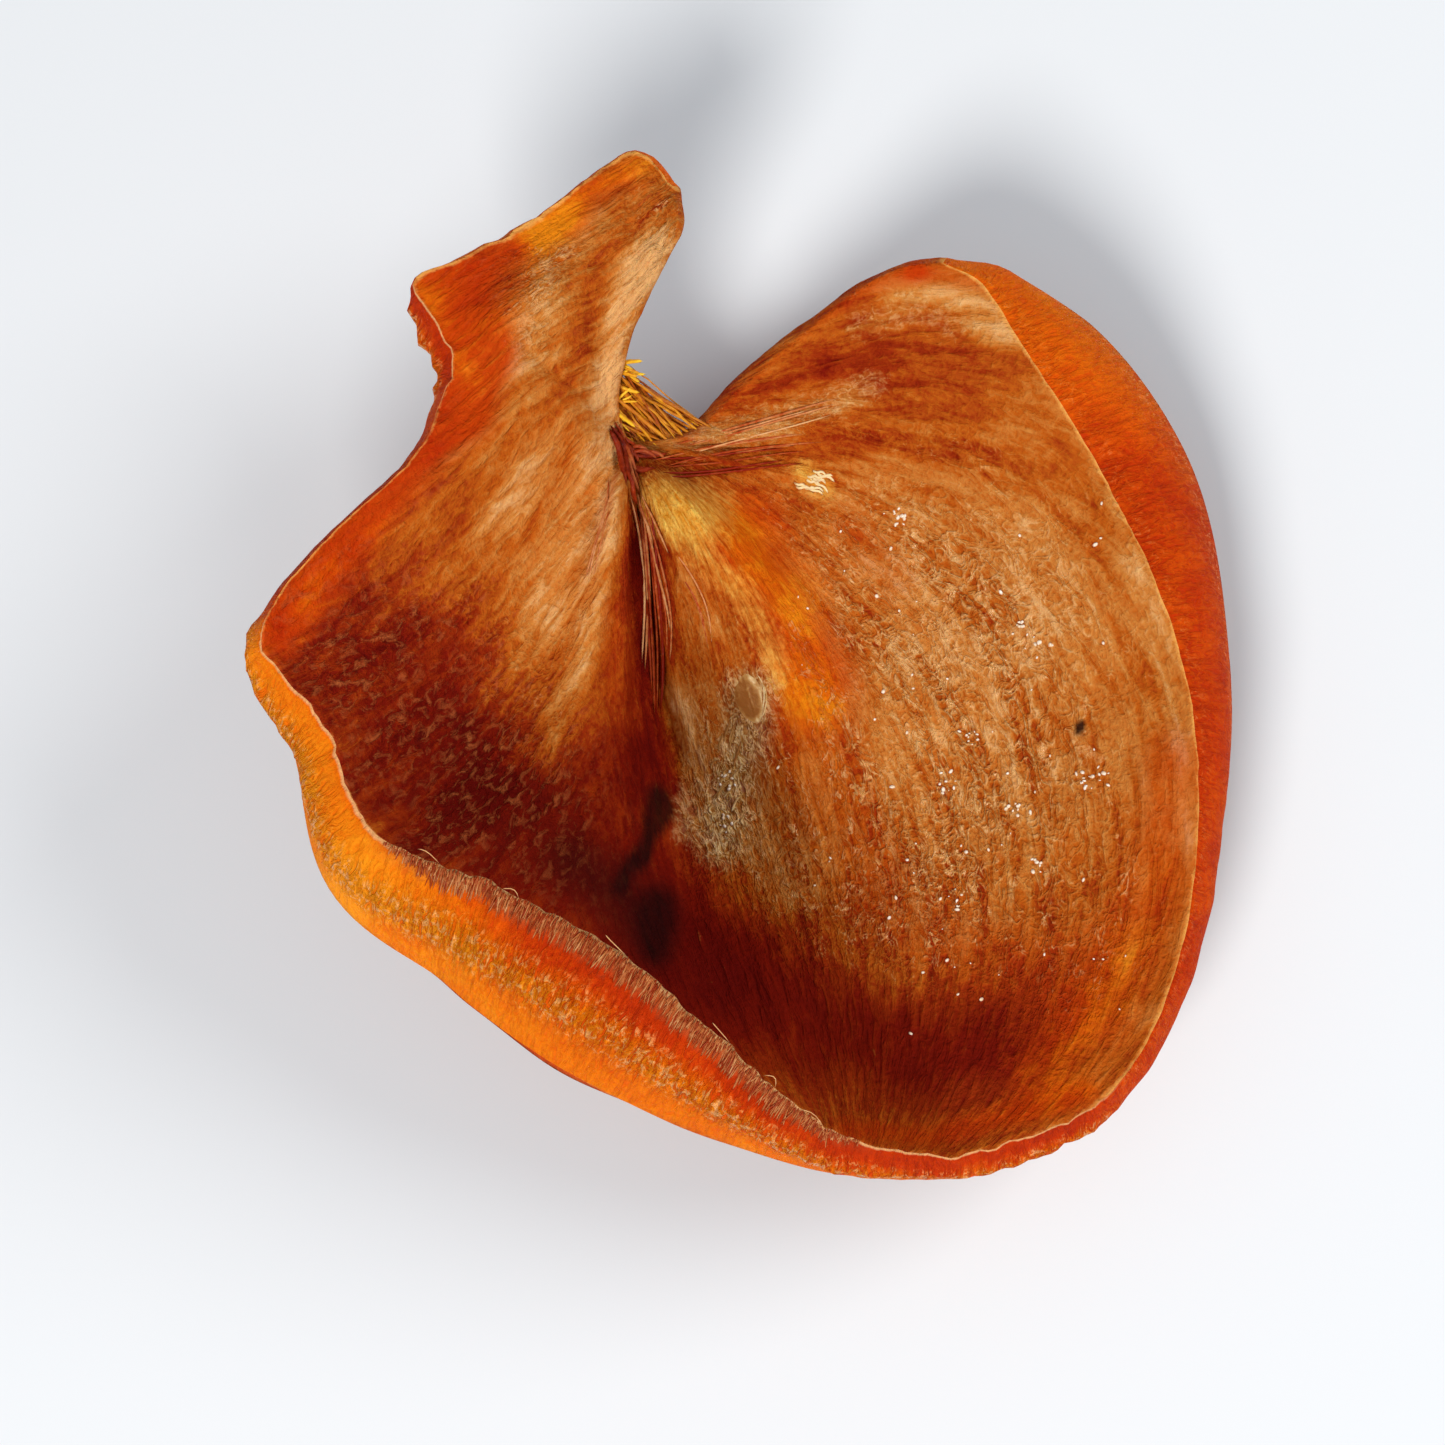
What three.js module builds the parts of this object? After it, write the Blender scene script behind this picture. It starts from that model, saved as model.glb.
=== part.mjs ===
// One dried persimmon slice: a thick slice cut lengthwise through the fruit, so its outline is a
// heart with the calyx point in the notch. Drying has thinned the flesh to a web, folded the left
// half up into a wing, dished the right half and curled the lower left rim inwards. The strip of
// skin round the rim shrank less than the flesh, so it stands out as a band wider than the web.
//
// Millimetres, +Z up. The slice lies cup side up on z = 0, with the notch towards +Y.

import * as THREE from "three";
import { mergeVertices } from "three/addons/utils/BufferGeometryUtils.js";

// ---- driving dimensions -------------------------------------------------------------------------

const webThickness = 2.0; // dried flesh in most of the slice
const notchThickness = 1.6; // flesh at the calyx point
const coreMiddle = [4.2, 1.0]; // x, y of the core, which stays thicker and which the slice lies on
const coreRadius = 8.5;
const coreThickening = 1.5; // how much thicker than the rest of the web
const floorShare = 0.48; // how far along a ray from the calyx point the hollow is at its full depth
const rimBlend = 3.4; // width beside the rim in which the web thickens to meet the skin strip's foot
const wallRoom = 2.1; // flesh and air between a curled rim's hollow side and its skin
const skinBulge = 0.14; // how far the skin strip bows out, as a share of its width
const restingTilt = { x: -6, y: 5 }; // degrees it rolls from the heights below to where it lies
const restingFlat = 0.8; // how much of the belly is pressed flat there

const calyxPoint = [-5.2, 15.9, 8.6]; // where the fibres meet, at the bottom of the notch

// The rim, from the tip of the left wing round the bottom to the right shoulder. Each row is
// x, y, z of the upper flesh edge, how far the skin strip reaches out from it and drops below it,
// the height of the hollow on the way there from the calyx point, and how late the wall rises.
const rimStations = [
  [-2.6, 27.4, 17.6, 0.3, 2.2, 8.6, 0.9], // tip of the left wing
  [-4.9, 28.9, 18.6, 0.3, 2.8, 8.6, 0.95],
  [-9.6, 25.1, 18.8, 0.2, 3.4, 8.6, 1.0],
  [-15.4, 20.8, 18.6, 0.4, 3.8, 8.6, 1.0], // spur
  [-14.3, 17.0, 17.6, 0.3, 4.0, 8.6, 1.0],
  [-16.0, 11.9, 17.9, 0.3, 4.3, 8.4, 1.05],
  [-20.1, 6.9, 18.8, 0.3, 4.5, 7.8, 1.1],
  [-23.7, 1.2, 19.0, 0.6, 4.6, 7.2, 1.3], // left corner
  [-20.6, -3.0, 17.6, 2.0, 4.8, 7.0, 2.2],
  [-18.0, -8.5, 16.1, 3.2, 5.0, 7.0, 3.6], // where the curl begins
  [-11.7, -10.8, 16.0, 5.4, 5.4, 6.2, 5.0],
  [-4.7, -14.6, 15.3, 6.2, 5.4, 3.8, 5.5],
  [1.2, -19.3, 13.4, 4.2, 5.2, 2.6, 5.5],
  [6.6, -23.3, 11.0, 1.2, 4.6, 2.1, 4.6],
  [12.8, -23.9, 9.5, 0.1, 3.8, 1.7, 3.6],
  [20.1, -20.7, 9.0, 0.1, 3.8, 1.6, 2.9],
  [23.9, -13.9, 9.0, 0.8, 4.0, 1.8, 2.5],
  [25.3, -5.1, 9.5, 1.7, 4.2, 2.4, 2.2],
  [24.5, 3.2, 10.5, 3.3, 4.2, 3.6, 2.0],
  [20.7, 12.4, 12.0, 5.7, 4.0, 5.2, 1.7],
  [16.2, 19.8, 13.4, 5.0, 3.6, 6.8, 1.5],
  [14.2, 23.2, 13.8, 2.8, 3.2, 7.8, 1.3],
  [12.0, 24.4, 14.0, 1.0, 2.8, 8.6, 1.3], // right shoulder
];

// Folds that fan out from the calyx point. Each row is the way it points (degrees from straight
// down the slice, positive to the right), its height, its half width in degrees, the distances
// from the calyx point where it starts, is full, begins to fade and is gone, and how much of it
// shows on the underside.
const notchWay = 140; // the way the notch opens, in the same degrees
const foldRows = [
  [-110, 3.2, 85, 0, 3.4, 7, 24, 1], // the left half rises at once
  [-137, 0.7, 18, 1, 4, 8, 14, 1],
  [-7, 2.5, 9, 0, 6, 15, 27, 0.8], // and ends in a ridge
  [8, -1.5, 7, 0.5, 6, 19, 30, 0.7], // groove
  [10, -2.2, 17, 3, 11, 22, 33, 0.6], // the valley it lies in
  [21, -0.7, 6, 7, 12, 18, 25, 0.3], // seed chamber
  [40, 1.8, 14, 0.5, 6, 13, 27, 0.2], // soft ridge of the right half
  [82, -0.7, 18, 2, 9, 15, 27, 1],
];

// The two sides of the notch, from the calyx point out to the wing tip and to the shoulder.
const wingSide = [
  [-6.1, 17.8, 9.8],
  [-5.5, 19.8, 11.8],
  [-3.8, 22.8, 14.4],
  [-2.5, 25.3, 16.4],
];
const shoulderSide = [
  [-1.7, 16.4, 8.9],
  [0.8, 18.4, 9.9],
  [3.8, 20.7, 11.4],
  [7.2, 22.9, 12.9],
  [9.8, 24.1, 13.7],
];

const raysAcross = 96; // grid rays that fan out from the calyx point
const stepsAlong = 22; // grid steps from the calyx point to the rim
const stripRows = 4; // rows of faces across the skin strip

// ---- curves -------------------------------------------------------------------------------------

const clamp01 = (t) => Math.min(1, Math.max(0, t));
const smooth = (low, high, t) => {
  const s = clamp01((t - low) / (high - low));
  return s * s * (3 - 2 * s);
};
const mix = (a, b, t) => a.map((v, i) => v + (b[i] - v) * t);

// A curve through the rows of a table, evenly paced along its length in x, y and z.
function pacedCurve(rows) {
  const knots = rows.map((row, i) => (i ? Math.sqrt(distance(row, rows[i - 1])) : 0));
  knots.forEach((_, i) => (knots[i] += i ? knots[i - 1] : 0));
  const at = (t) => {
    let i = knots.findIndex((k, n) => n > 0 && t <= k) - 1;
    if (i < 0) i = rows.length - 2;
    return hermite(rows, knots, i, (t - knots[i]) / (knots[i + 1] - knots[i]));
  };
  const samples = 600;
  const lengths = [0];
  const end = knots.at(-1);
  for (let n = 1; n <= samples; n++)
    lengths.push(lengths[n - 1] + distance(at((end * n) / samples), at((end * (n - 1)) / samples)));
  return (share) => {
    const wanted = share * lengths[samples];
    let n = lengths.findIndex((l) => l >= wanted);
    if (n < 1) n = share > 0.5 ? samples : 1;
    const part = (wanted - lengths[n - 1]) / (lengths[n] - lengths[n - 1]);
    return at((end * (n - 1 + clamp01(part))) / samples);
  };
}

function distance(a, b) {
  return Math.hypot(a[0] - b[0], a[1] - b[1], a[2] - b[2]);
}

// Cubic between rows i and i + 1, whose slopes come from the neighbouring rows.
function hermite(rows, knots, i, t) {
  const slope = (n) => {
    const before = Math.max(0, n - 1);
    const after = Math.min(rows.length - 1, n + 1);
    return rows[n].map((_, c) => (rows[after][c] - rows[before][c]) / (knots[after] - knots[before]));
  };
  const width = knots[i + 1] - knots[i];
  const [m0, m1] = [slope(i), slope(i + 1)];
  const [t2, t3] = [t * t, t * t * t];
  return rows[i].map(
    (v, c) =>
      v * (2 * t3 - 3 * t2 + 1) +
      rows[i + 1][c] * (3 * t2 - 2 * t3) +
      width * (m0[c] * (t3 - 2 * t2 + t) + m1[c] * (t3 - t2)),
  );
}

const rimAt = pacedCurve(rimStations);
const wingSideAt = pacedCurve([calyxPoint, ...wingSide, rimStations[0].slice(0, 3)]);
const shoulderSideAt = pacedCurve([calyxPoint, ...shoulderSide, rimStations.at(-1).slice(0, 3)]);

// ---- the upper face -----------------------------------------------------------------------------

// Horizontal direction away from the slice at a place on the rim, which runs counter-clockwise.
function outward(across) {
  const step = 0.01;
  const before = rimAt(clamp01(across - step));
  const after = rimAt(clamp01(across + step));
  const run = [after[0] - before[0], after[1] - before[1]];
  const length = Math.hypot(...run);
  return [run[1] / length, -run[0] / length];
}

// One ray from the calyx point (along = 0) to the rim (along = 1), before the notch is cut in.
function ray(across, along) {
  const [x, y, z, reach, , hollow, late] = rimAt(across);
  const [kx, ky, kz] = calyxPoint;
  const settle = smooth(0, floorShare, along);
  const out = outward(across);
  const tuck = Math.max(0, reach - wallRoom) * smooth(2, 5, late) * tuckShape(along);
  return [
    kx + (x - kx) * along + out[0] * tuck,
    ky + (y - ky) * along + out[1] * tuck,
    kz + (hollow - kz) * settle + (z - hollow) * along ** late,
  ];
}

// The hollow runs out under a curled rim before the wall comes back to its edge.
function tuckShape(along) {
  const s = clamp01((along - 0.55) / 0.45) ** 1.8;
  return Math.sin(Math.PI * s);
}

// The dished sheet before any fold is pressed into it.
function plainFace(across, along) {
  const point = ray(across, along);
  const nearWing = (1 - smooth(0, 0.22, across)) ** 1.5;
  const nearShoulder = (1 - smooth(0, 0.2, 1 - across)) ** 1.5;
  const wing = wingSideAt(along).map((v, i) => v - ray(0, along)[i]);
  const shoulder = shoulderSideAt(along).map((v, i) => v - ray(1, along)[i]);
  return point.map((v, i) => v + nearWing * wing[i] + nearShoulder * shoulder[i]);
}

// Height of all folds at a place on the upper face, or of what shows of them underneath.
function folds(x, y, underside = false) {
  const [right, down] = [x - calyxPoint[0], calyxPoint[1] - y];
  const away = Math.hypot(right, down);
  const turn = THREE.MathUtils.radToDeg(Math.atan2(right, down));
  const way = turn > notchWay ? turn - 360 : turn;
  return foldRows.reduce((sum, [middle, height, halfWidth, start, full, fade, end, shows]) => {
    const profile = Math.exp(-(((way - middle) / halfWidth) ** 2));
    const length = smooth(start, full, away) * (1 - smooth(fade, end, away));
    return sum + height * profile * length * (underside ? shows : 1);
  }, 0);
}

// Slow unevenness of a piece that dried freely.
function waviness(x, y) {
  return (
    0.22 * Math.sin(0.31 * x + 0.22 * y + 0.6) +
    0.16 * Math.sin(0.53 * y - 0.2 * x + 1.9) +
    0.1 * Math.sin(0.83 * x + 0.41 * y + 4.1)
  );
}

// ---- the solid ----------------------------------------------------------------------------------

function persimmonSlice() {
  const plain = [];
  for (let i = 0; i <= raysAcross; i++) {
    plain.push([]);
    for (let j = 0; j <= stepsAlong; j++)
      plain[i].push(new THREE.Vector3(...plainFace(i / raysAcross, j / stepsAlong)));
  }
  const normals = smoothNormals(plain);
  const lifted = (underside) =>
    plain.map((column) =>
      column.map((p, j) => {
        const along = j / stepsAlong;
        const fold = folds(p.x, p.y, underside) * (1 - smooth(0.55, 1, along));
        return new THREE.Vector3(p.x, p.y, p.z + fold + waviness(p.x, p.y) * along);
      }),
    );
  const upper = lifted(false);
  const lower = lifted(true).map((column, i) =>
    column.map((p, j) => lowerPoint(p, normals[i][j], i, j)),
  );

  const points = [];
  const faces = [];
  const put = (p) => points.push([p.x, p.y, p.z]) - 1;
  const upperIds = upper.map((column) => column.map(put));
  const lowerIds = lower.map((column) => column.map(put));
  for (let i = 0; i < raysAcross; i++)
    for (let j = 0; j < stepsAlong; j++) {
      quad(faces, upperIds[i][j], upperIds[i][j + 1], upperIds[i + 1][j + 1], upperIds[i + 1][j]);
      quad(faces, lowerIds[i][j], lowerIds[i + 1][j], lowerIds[i + 1][j + 1], lowerIds[i][j + 1]);
    }
  skinStrip(upper, lower, upperIds, lowerIds, put, faces);
  return toGeometry(points, faces);
}

function quad(faces, a, b, c, d) {
  faces.push([a, b, c], [a, c, d]);
}

function smoothNormals(grid) {
  const [columns, rows] = [grid.length, grid[0].length];
  const at = (i, j) => grid[Math.min(columns - 1, Math.max(0, i))][Math.min(rows - 1, Math.max(0, j))];
  let normals = grid.map((column, i) =>
    column.map((_, j) => {
      const acrossStep = at(i + 1, Math.max(1, j)).clone().sub(at(i - 1, Math.max(1, j)));
      const alongStep = at(i, j + 1).clone().sub(at(i, j - 1));
      return alongStep.cross(acrossStep).normalize();
    }),
  );
  const pole = new THREE.Vector3();
  normals.forEach((column) => pole.add(column[0]));
  pole.normalize();
  normals.forEach((column) =>
    column.forEach((n, j) => n.copy(pole.clone().lerp(n, smooth(0, 0.3, j / (rows - 1))).normalize())),
  );
  const rounds = 3;
  for (let n = 0; n < rounds; n++)
    normals = normals.map((column, i) =>
      column.map((own, j) => {
        const sum = own.clone().multiplyScalar(2);
        if (j > 0) {
          sum.add(normals[Math.max(0, i - 1)][j]).add(normals[Math.min(columns - 1, i + 1)][j]);
          sum.add(normals[i][j - 1]).add(normals[i][Math.min(rows - 1, j + 1)]);
        }
        return sum.normalize();
      }),
    );
  return normals;
}

// The lower face lies a web's thickness below the upper one and runs out to the skin strip's foot.
function lowerPoint(point, normal, i, j) {
  const across = i / raysAcross;
  const web = notchThickness + (webThickness - notchThickness) * smooth(0, 0.25, j / stepsAlong);
  const fromCore = Math.hypot(point.x - coreMiddle[0], point.y - coreMiddle[1]) / coreRadius;
  const thickness = web + coreThickening * Math.exp(-(fromCore ** 2));
  const [x, y, z, reach, drop] = rimAt(across);
  const out = outward(across);
  const inside = (x - point.x) * out[0] + (y - point.y) * out[1];
  const nearRim = 1 - smooth(0, rimBlend, Math.hypot(inside, z - point.z));
  const below = normal.clone().multiplyScalar(-thickness);
  const foot = new THREE.Vector3(out[0] * reach, out[1] * reach, -drop);
  return point.clone().add(below.lerp(foot, j < stepsAlong ? nearRim : 1));
}

// The band round the whole outline: up the shoulder side, back along the rim, down the wing side.
function skinStrip(upper, lower, upperIds, lowerIds, put, faces) {
  const loop = [[0, 0]];
  for (let j = 1; j <= stepsAlong; j++) loop.push([raysAcross, j]);
  for (let i = raysAcross - 1; i >= 0; i--) loop.push([i, stepsAlong]);
  for (let j = stepsAlong - 1; j > 0; j--) loop.push([0, j]);
  const rows = loop.map(([i, j], n) => {
    const [top, foot] = [upper[i][j], lower[i][j]];
    const [bi, bj] = loop[(n + loop.length - 1) % loop.length];
    const [ci, cj] = loop[(n + 1) % loop.length];
    const run = upper[ci][cj].clone().sub(upper[bi][bj]);
    const width = foot.clone().sub(top);
    const bulge = run.cross(width).normalize().multiplyScalar(n ? width.length() * skinBulge : 0);
    const ids = [upperIds[i][j]];
    for (let k = 1; k < stripRows; k++) {
      const share = k / stripRows;
      const bow = Math.sin(Math.PI * share);
      ids.push(put(top.clone().lerp(foot, share).addScaledVector(bulge, bow)));
    }
    ids.push(lowerIds[i][j]);
    return ids;
  });
  rows.forEach((ids, n) => {
    const next = rows[(n + 1) % rows.length];
    for (let k = 0; k < stripRows; k++) quad(faces, ids[k], next[k], next[k + 1], ids[k + 1]);
  });
}

// Lays the slice on z = 0 with its belly pressed flat there, and centres its outline on the origin.
function toGeometry(points, faces) {
  const { degToRad } = THREE.MathUtils;
  const roll = new THREE.Euler(degToRad(restingTilt.x), degToRad(restingTilt.y), 0);
  const rolled = points.map((p) => new THREE.Vector3(...p).applyEuler(roll));
  const box = new THREE.Box3().setFromPoints(rolled);
  const middle = box.getCenter(new THREE.Vector3());
  const floor = box.min.z + restingFlat;
  const laid = rolled.flatMap((p) => [p.x - middle.x, p.y - middle.y, Math.max(0, p.z - floor)]);
  const geometry = new THREE.BufferGeometry();
  geometry.setAttribute("position", new THREE.Float32BufferAttribute(laid, 3));
  geometry.setIndex(faces.flat());
  return mergeVertices(geometry, 1e-4);
}

// ---- the object ---------------------------------------------------------------------------------

const slice = new THREE.Mesh(
  persimmonSlice(),
  new THREE.MeshStandardMaterial({ color: 0xb5601f, roughness: 0.55, metalness: 0 }),
);
slice.name = "persimmon_slice";

const persimmon = new THREE.Group();
persimmon.name = "dried_persimmon";
persimmon.add(slice);

export default persimmon;
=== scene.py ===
import bmesh
import bpy
import math
import numpy as np
from mathutils import Euler, Matrix, Vector, noise


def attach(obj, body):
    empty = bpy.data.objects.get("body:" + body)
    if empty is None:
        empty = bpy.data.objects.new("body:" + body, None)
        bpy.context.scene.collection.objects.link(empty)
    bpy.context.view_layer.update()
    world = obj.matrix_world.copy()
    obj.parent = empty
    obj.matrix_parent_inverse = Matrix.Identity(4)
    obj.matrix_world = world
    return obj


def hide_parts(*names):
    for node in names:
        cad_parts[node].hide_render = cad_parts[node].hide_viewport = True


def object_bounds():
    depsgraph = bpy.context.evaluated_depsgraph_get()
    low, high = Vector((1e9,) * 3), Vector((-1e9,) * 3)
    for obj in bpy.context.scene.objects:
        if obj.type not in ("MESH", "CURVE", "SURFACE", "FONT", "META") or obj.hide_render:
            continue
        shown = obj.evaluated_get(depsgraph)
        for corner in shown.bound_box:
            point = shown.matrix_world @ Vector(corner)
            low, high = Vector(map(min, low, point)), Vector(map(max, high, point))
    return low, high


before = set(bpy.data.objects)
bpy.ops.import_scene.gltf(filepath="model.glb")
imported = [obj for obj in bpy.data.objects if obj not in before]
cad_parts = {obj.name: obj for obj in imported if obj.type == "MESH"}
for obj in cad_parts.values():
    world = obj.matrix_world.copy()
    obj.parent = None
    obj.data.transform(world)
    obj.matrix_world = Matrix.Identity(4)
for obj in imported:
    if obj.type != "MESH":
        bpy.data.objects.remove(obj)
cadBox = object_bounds()
mm = 0.001
closeUp = 1e-6  # vertices nearer than this are joined
print("frame loaded")

# The slice is drawn in millimetres as it was cut, then rolled to where it rests.
calyxPoint = (-5.2, 15.9, 8.6)  # where the fibres meet, at the bottom of the notch

# Stations round the rim: x, y and z of the flesh edge, reach and drop of the skin, height of the
# hollow below, and how late the wall rises.
rimStations = [
    (-2.6, 27.4, 17.6, 0.3, 2.2, 8.6, 0.9), (-4.9, 28.9, 18.6, 0.3, 2.8, 8.6, 0.95),
    (-9.6, 25.1, 18.8, 0.2, 3.4, 8.6, 1), (-15.4, 20.8, 18.6, 0.4, 3.8, 8.6, 1),
    (-14.3, 17, 17.6, 0.3, 4, 8.6, 1), (-16, 11.9, 17.9, 0.3, 4.3, 8.4, 1.05),
    (-20.1, 6.9, 18.8, 0.3, 4.5, 7.8, 1.1), (-23.7, 1.2, 19, 0.6, 4.6, 7.2, 1.3),
    (-20.6, -3, 17.6, 2, 4.8, 7, 2.2), (-18, -8.5, 16.1, 3.2, 5, 7, 3.6), (-11.7, -10.8, 16, 5.4, 5.4, 6.2, 5),
    (-4.7, -14.6, 15.3, 6.2, 5.4, 3.8, 5.5), (1.2, -19.3, 13.4, 4.2, 5.2, 2.6, 5.5),
    (6.6, -23.3, 11, 1.2, 4.6, 2.1, 4.6), (12.8, -23.9, 9.5, 0.1, 3.8, 1.7, 3.6),
    (20.1, -20.7, 9, 0.1, 3.8, 1.6, 2.9), (23.9, -13.9, 9, 0.8, 4, 1.8, 2.5),
    (25.3, -5.1, 9.5, 1.7, 4.2, 2.4, 2.2), (24.5, 3.2, 10.5, 3.3, 4.2, 3.6, 2),
    (20.7, 12.4, 12, 5.7, 4, 5.2, 1.7), (16.2, 19.8, 13.4, 5, 3.6, 6.8, 1.5),
    (14.2, 23.2, 13.8, 2.8, 3.2, 7.8, 1.3), (12, 24.4, 14, 1, 2.8, 8.6, 1.3),
]
wingSide = [calyxPoint, (-6.1, 17.8, 9.8), (-5.5, 19.8, 11.8), (-3.8, 22.8, 14.4), (-2.5, 25.3, 16.4)]
shoulderSide = [calyxPoint, (-1.7, 16.4, 8.9), (0.8, 18.4, 9.9), (3.8, 20.7, 11.4), (7.2, 22.9, 12.9),
                (9.8, 24.1, 13.7)]

# Folds fan out from the calyx point: the way each points in degrees from straight down the slice,
# its height and half width, where it starts, is full, fades and ends, how much shows underneath.
foldRows = [
    (-110, 3.2, 85, 0, 3.4, 7, 24, 1), (-137, 0.7, 18, 1, 4, 8, 14, 1), (-7, 2.5, 9, 0, 6, 15, 27, 0.8),
    (8, -1.5, 7, 0.5, 6, 19, 30, 0.7), (10, -2.2, 17, 3, 11, 22, 33, 0.6), (21, -0.7, 6, 7, 12, 18, 25, 0.3),
    (40, 1.8, 14, 0.5, 6, 13, 27, 0.2), (82, -0.7, 18, 2, 9, 15, 27, 1),
]
# Fine pleats and strands in the upper face only, in the same terms.
pleatRows = [
    (-1.5, 0.28, 1.5, 2, 6, 12, 19, 0), (2.5, -0.26, 1.4, 2, 6, 13, 20, 0), (6, 0.26, 1.3, 2, 6, 13, 21, 0),
    (9.5, -0.24, 1.4, 2, 6, 12, 19, 0), (13, 0.24, 1.4, 3, 7, 12, 18, 0), (25, 0.5, 3, 1, 4, 11, 16, 0),
    (84, 0.3, 2.4, 1, 4, 8, 15, 0), (90, -0.28, 2.2, 1, 4, 8, 14, 0), (97, 0.3, 2.4, 1, 4, 9, 16, 0),
    (104, -0.26, 2.6, 1, 4, 9, 15, 0), (-115, 0.5, 11, 2, 4.5, 6.5, 10, 0),
]

form = {
    "webThickness": 2,
    "notchThickness": 1.6,
    "coreMiddle": (4.2, 1),
    "coreRadius": 8.5,
    "coreThickening": 1.5,
    "floorShare": 0.48,
    "rimBlend": 3.4,
    "wallRoom": 2.1,
    "skinBulge": 0.14,
    "notchWay": 140,
    "tilt": (-6, 5, 0),  # degrees
    "pressed": 0.8,
    "cutGrid": (96, 22, 4),  # rays, steps along them and rows of skin of the plain slice
    "fineGrid": (360, 110, 11),
}


def smooth(low, high, t):
    s = np.clip((np.asarray(t, float) - low) / (high - low), 0, 1)
    return s * s * (3 - 2 * s)


# 1 at 0, falling away to nothing either side of it.
def bell(t):
    return np.exp(-t ** 2)


# 0 at both ends and 1 in the middle.
def arch(share):
    return np.sin(math.pi * share)


def unit(vectors):
    return vectors / np.maximum(np.linalg.norm(vectors, axis=-1, keepdims=True), 1e-9)


# A curve through the rows of a table, evenly paced along its length.
def pacedCurve(rows):
    rows = np.array(rows, float)
    gaps = np.sqrt(np.linalg.norm(np.diff(rows[:, :3], axis=0), axis=1))
    knots = np.concatenate([[0], np.cumsum(gaps)])
    before = np.maximum(np.arange(len(rows)) - 1, 0)
    after = np.minimum(np.arange(len(rows)) + 1, len(rows) - 1)
    slopes = (rows[after] - rows[before]) / (knots[after] - knots[before])[:, None]

    def at(t):
        i = np.clip(np.searchsorted(knots, t) - 1, 0, len(rows) - 2)
        width = (knots[i + 1] - knots[i])[:, None]
        s = (t - knots[i])[:, None] / width
        s2, s3 = s * s, s * s * s
        bend = slopes[i] * (s3 - 2 * s2 + s) + slopes[i + 1] * (s3 - s2)
        return rows[i] * (2 * s3 - 3 * s2 + 1) + rows[i + 1] * (3 * s2 - 2 * s3) + width * bend

    times = np.linspace(0, knots[-1], 601)
    steps = np.linalg.norm(np.diff(at(times)[:, :3], axis=0), axis=1)
    lengths = np.concatenate([[0], np.cumsum(steps)])
    return lambda share: at(np.interp(np.clip(share, 0, 1) * lengths[-1], lengths, times))


rimAt = pacedCurve(rimStations)
wingSideAt = pacedCurve(wingSide + [rimStations[0][:3]])
shoulderSideAt = pacedCurve(shoulderSide + [rimStations[-1][:3]])


# Horizontal direction away from the slice at places on the rim.
def outward(across):
    run = rimAt(across + 0.01)[:, :2] - rimAt(across - 0.01)[:, :2]
    return unit(np.stack([run[:, 1], -run[:, 0]], 1))


# The dished sheet before any fold is pressed into it.
def plainFace(across, along):
    kx, ky, kz = calyxPoint

    def rays(rim, out):
        x, y, z, reach, _, hollow, late = [rim[:, n, None] for n in range(7)]
        settle = smooth(0, form["floorShare"], along)
        tuck = np.maximum(0, reach - form["wallRoom"]) * smooth(2, 5, late)
        tuck = tuck * np.sin(math.pi * np.clip((along - 0.55) / 0.45, 0, 1) ** 1.8)
        return np.stack([
            kx + (x - kx) * along + out[:, 0, None] * tuck,
            ky + (y - ky) * along + out[:, 1, None] * tuck,
            kz + (hollow - kz) * settle + (z - hollow) * along ** late,
        ], -1)

    ends = np.array([0, 1])
    endRays = rays(rimAt(ends), outward(ends))
    nearWing = (1 - smooth(0, 0.22, across)) ** 1.5
    nearShoulder = (1 - smooth(0, 0.2, 1 - across)) ** 1.5
    sheet = rays(rimAt(across), outward(across))
    sheet += nearWing[:, None, None] * (wingSideAt(along) - endRays[0])
    sheet += nearShoulder[:, None, None] * (shoulderSideAt(along) - endRays[1])
    return sheet


# How far places are from the calyx point, and the way they lie from it.
def fromCalyx(x, y):
    right, down = x - calyxPoint[0], calyxPoint[1] - y
    turn = np.degrees(np.arctan2(right, down))
    return np.hypot(right, down), np.where(turn > form["notchWay"], turn - 360, turn)


def folds(rows, x, y, underside=False):
    away, way = fromCalyx(x, y)
    height = np.zeros_like(x)
    for middle, rise, halfWidth, start, full, fade, end, shows in rows:
        length = smooth(start, full, away) * (1 - smooth(fade, end, away))
        share = shows if underside else 1
        height += share * rise * bell((way - middle) / halfWidth) * length
    return height


def waviness(x, y):
    return (0.22 * np.sin(0.31 * x + 0.22 * y + 0.6) + 0.16 * np.sin(0.53 * y - 0.2 * x + 1.9)
            + 0.1 * np.sin(0.83 * x + 0.41 * y + 4.1))


def gridNormals(grid):
    padded = np.pad(grid, ((1, 1), (1, 1), (0, 0)), mode="edge")
    acrossStep = padded[2:, 1:-1] - padded[:-2, 1:-1]
    acrossStep[:, 0] = acrossStep[:, 1]
    alongStep = padded[1:-1, 2:] - padded[1:-1, :-2]
    return unit(np.cross(alongStep, acrossStep))


# Normals of the plain sheet, evened out, taken on the plain slice's own grid.
def eveNormals():
    rays, steps, _ = form["cutGrid"]
    along = np.linspace(0, 1, steps + 1)
    normals = gridNormals(plainFace(np.linspace(0, 1, rays + 1), along))
    pole = unit(normals[:, 0].sum(0))
    normals = unit(pole + (normals - pole) * smooth(0, 0.3, along)[None, :, None])
    for _ in range(3):
        padded = np.pad(normals, ((1, 1), (1, 1), (0, 0)), mode="edge")
        total = 2 * normals + padded[:-2, 1:-1] + padded[2:, 1:-1] + padded[1:-1, :-2] + padded[1:-1, 2:]
        total[:, 0] = normals[:, 0]
        normals = unit(total)
    return normals


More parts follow.
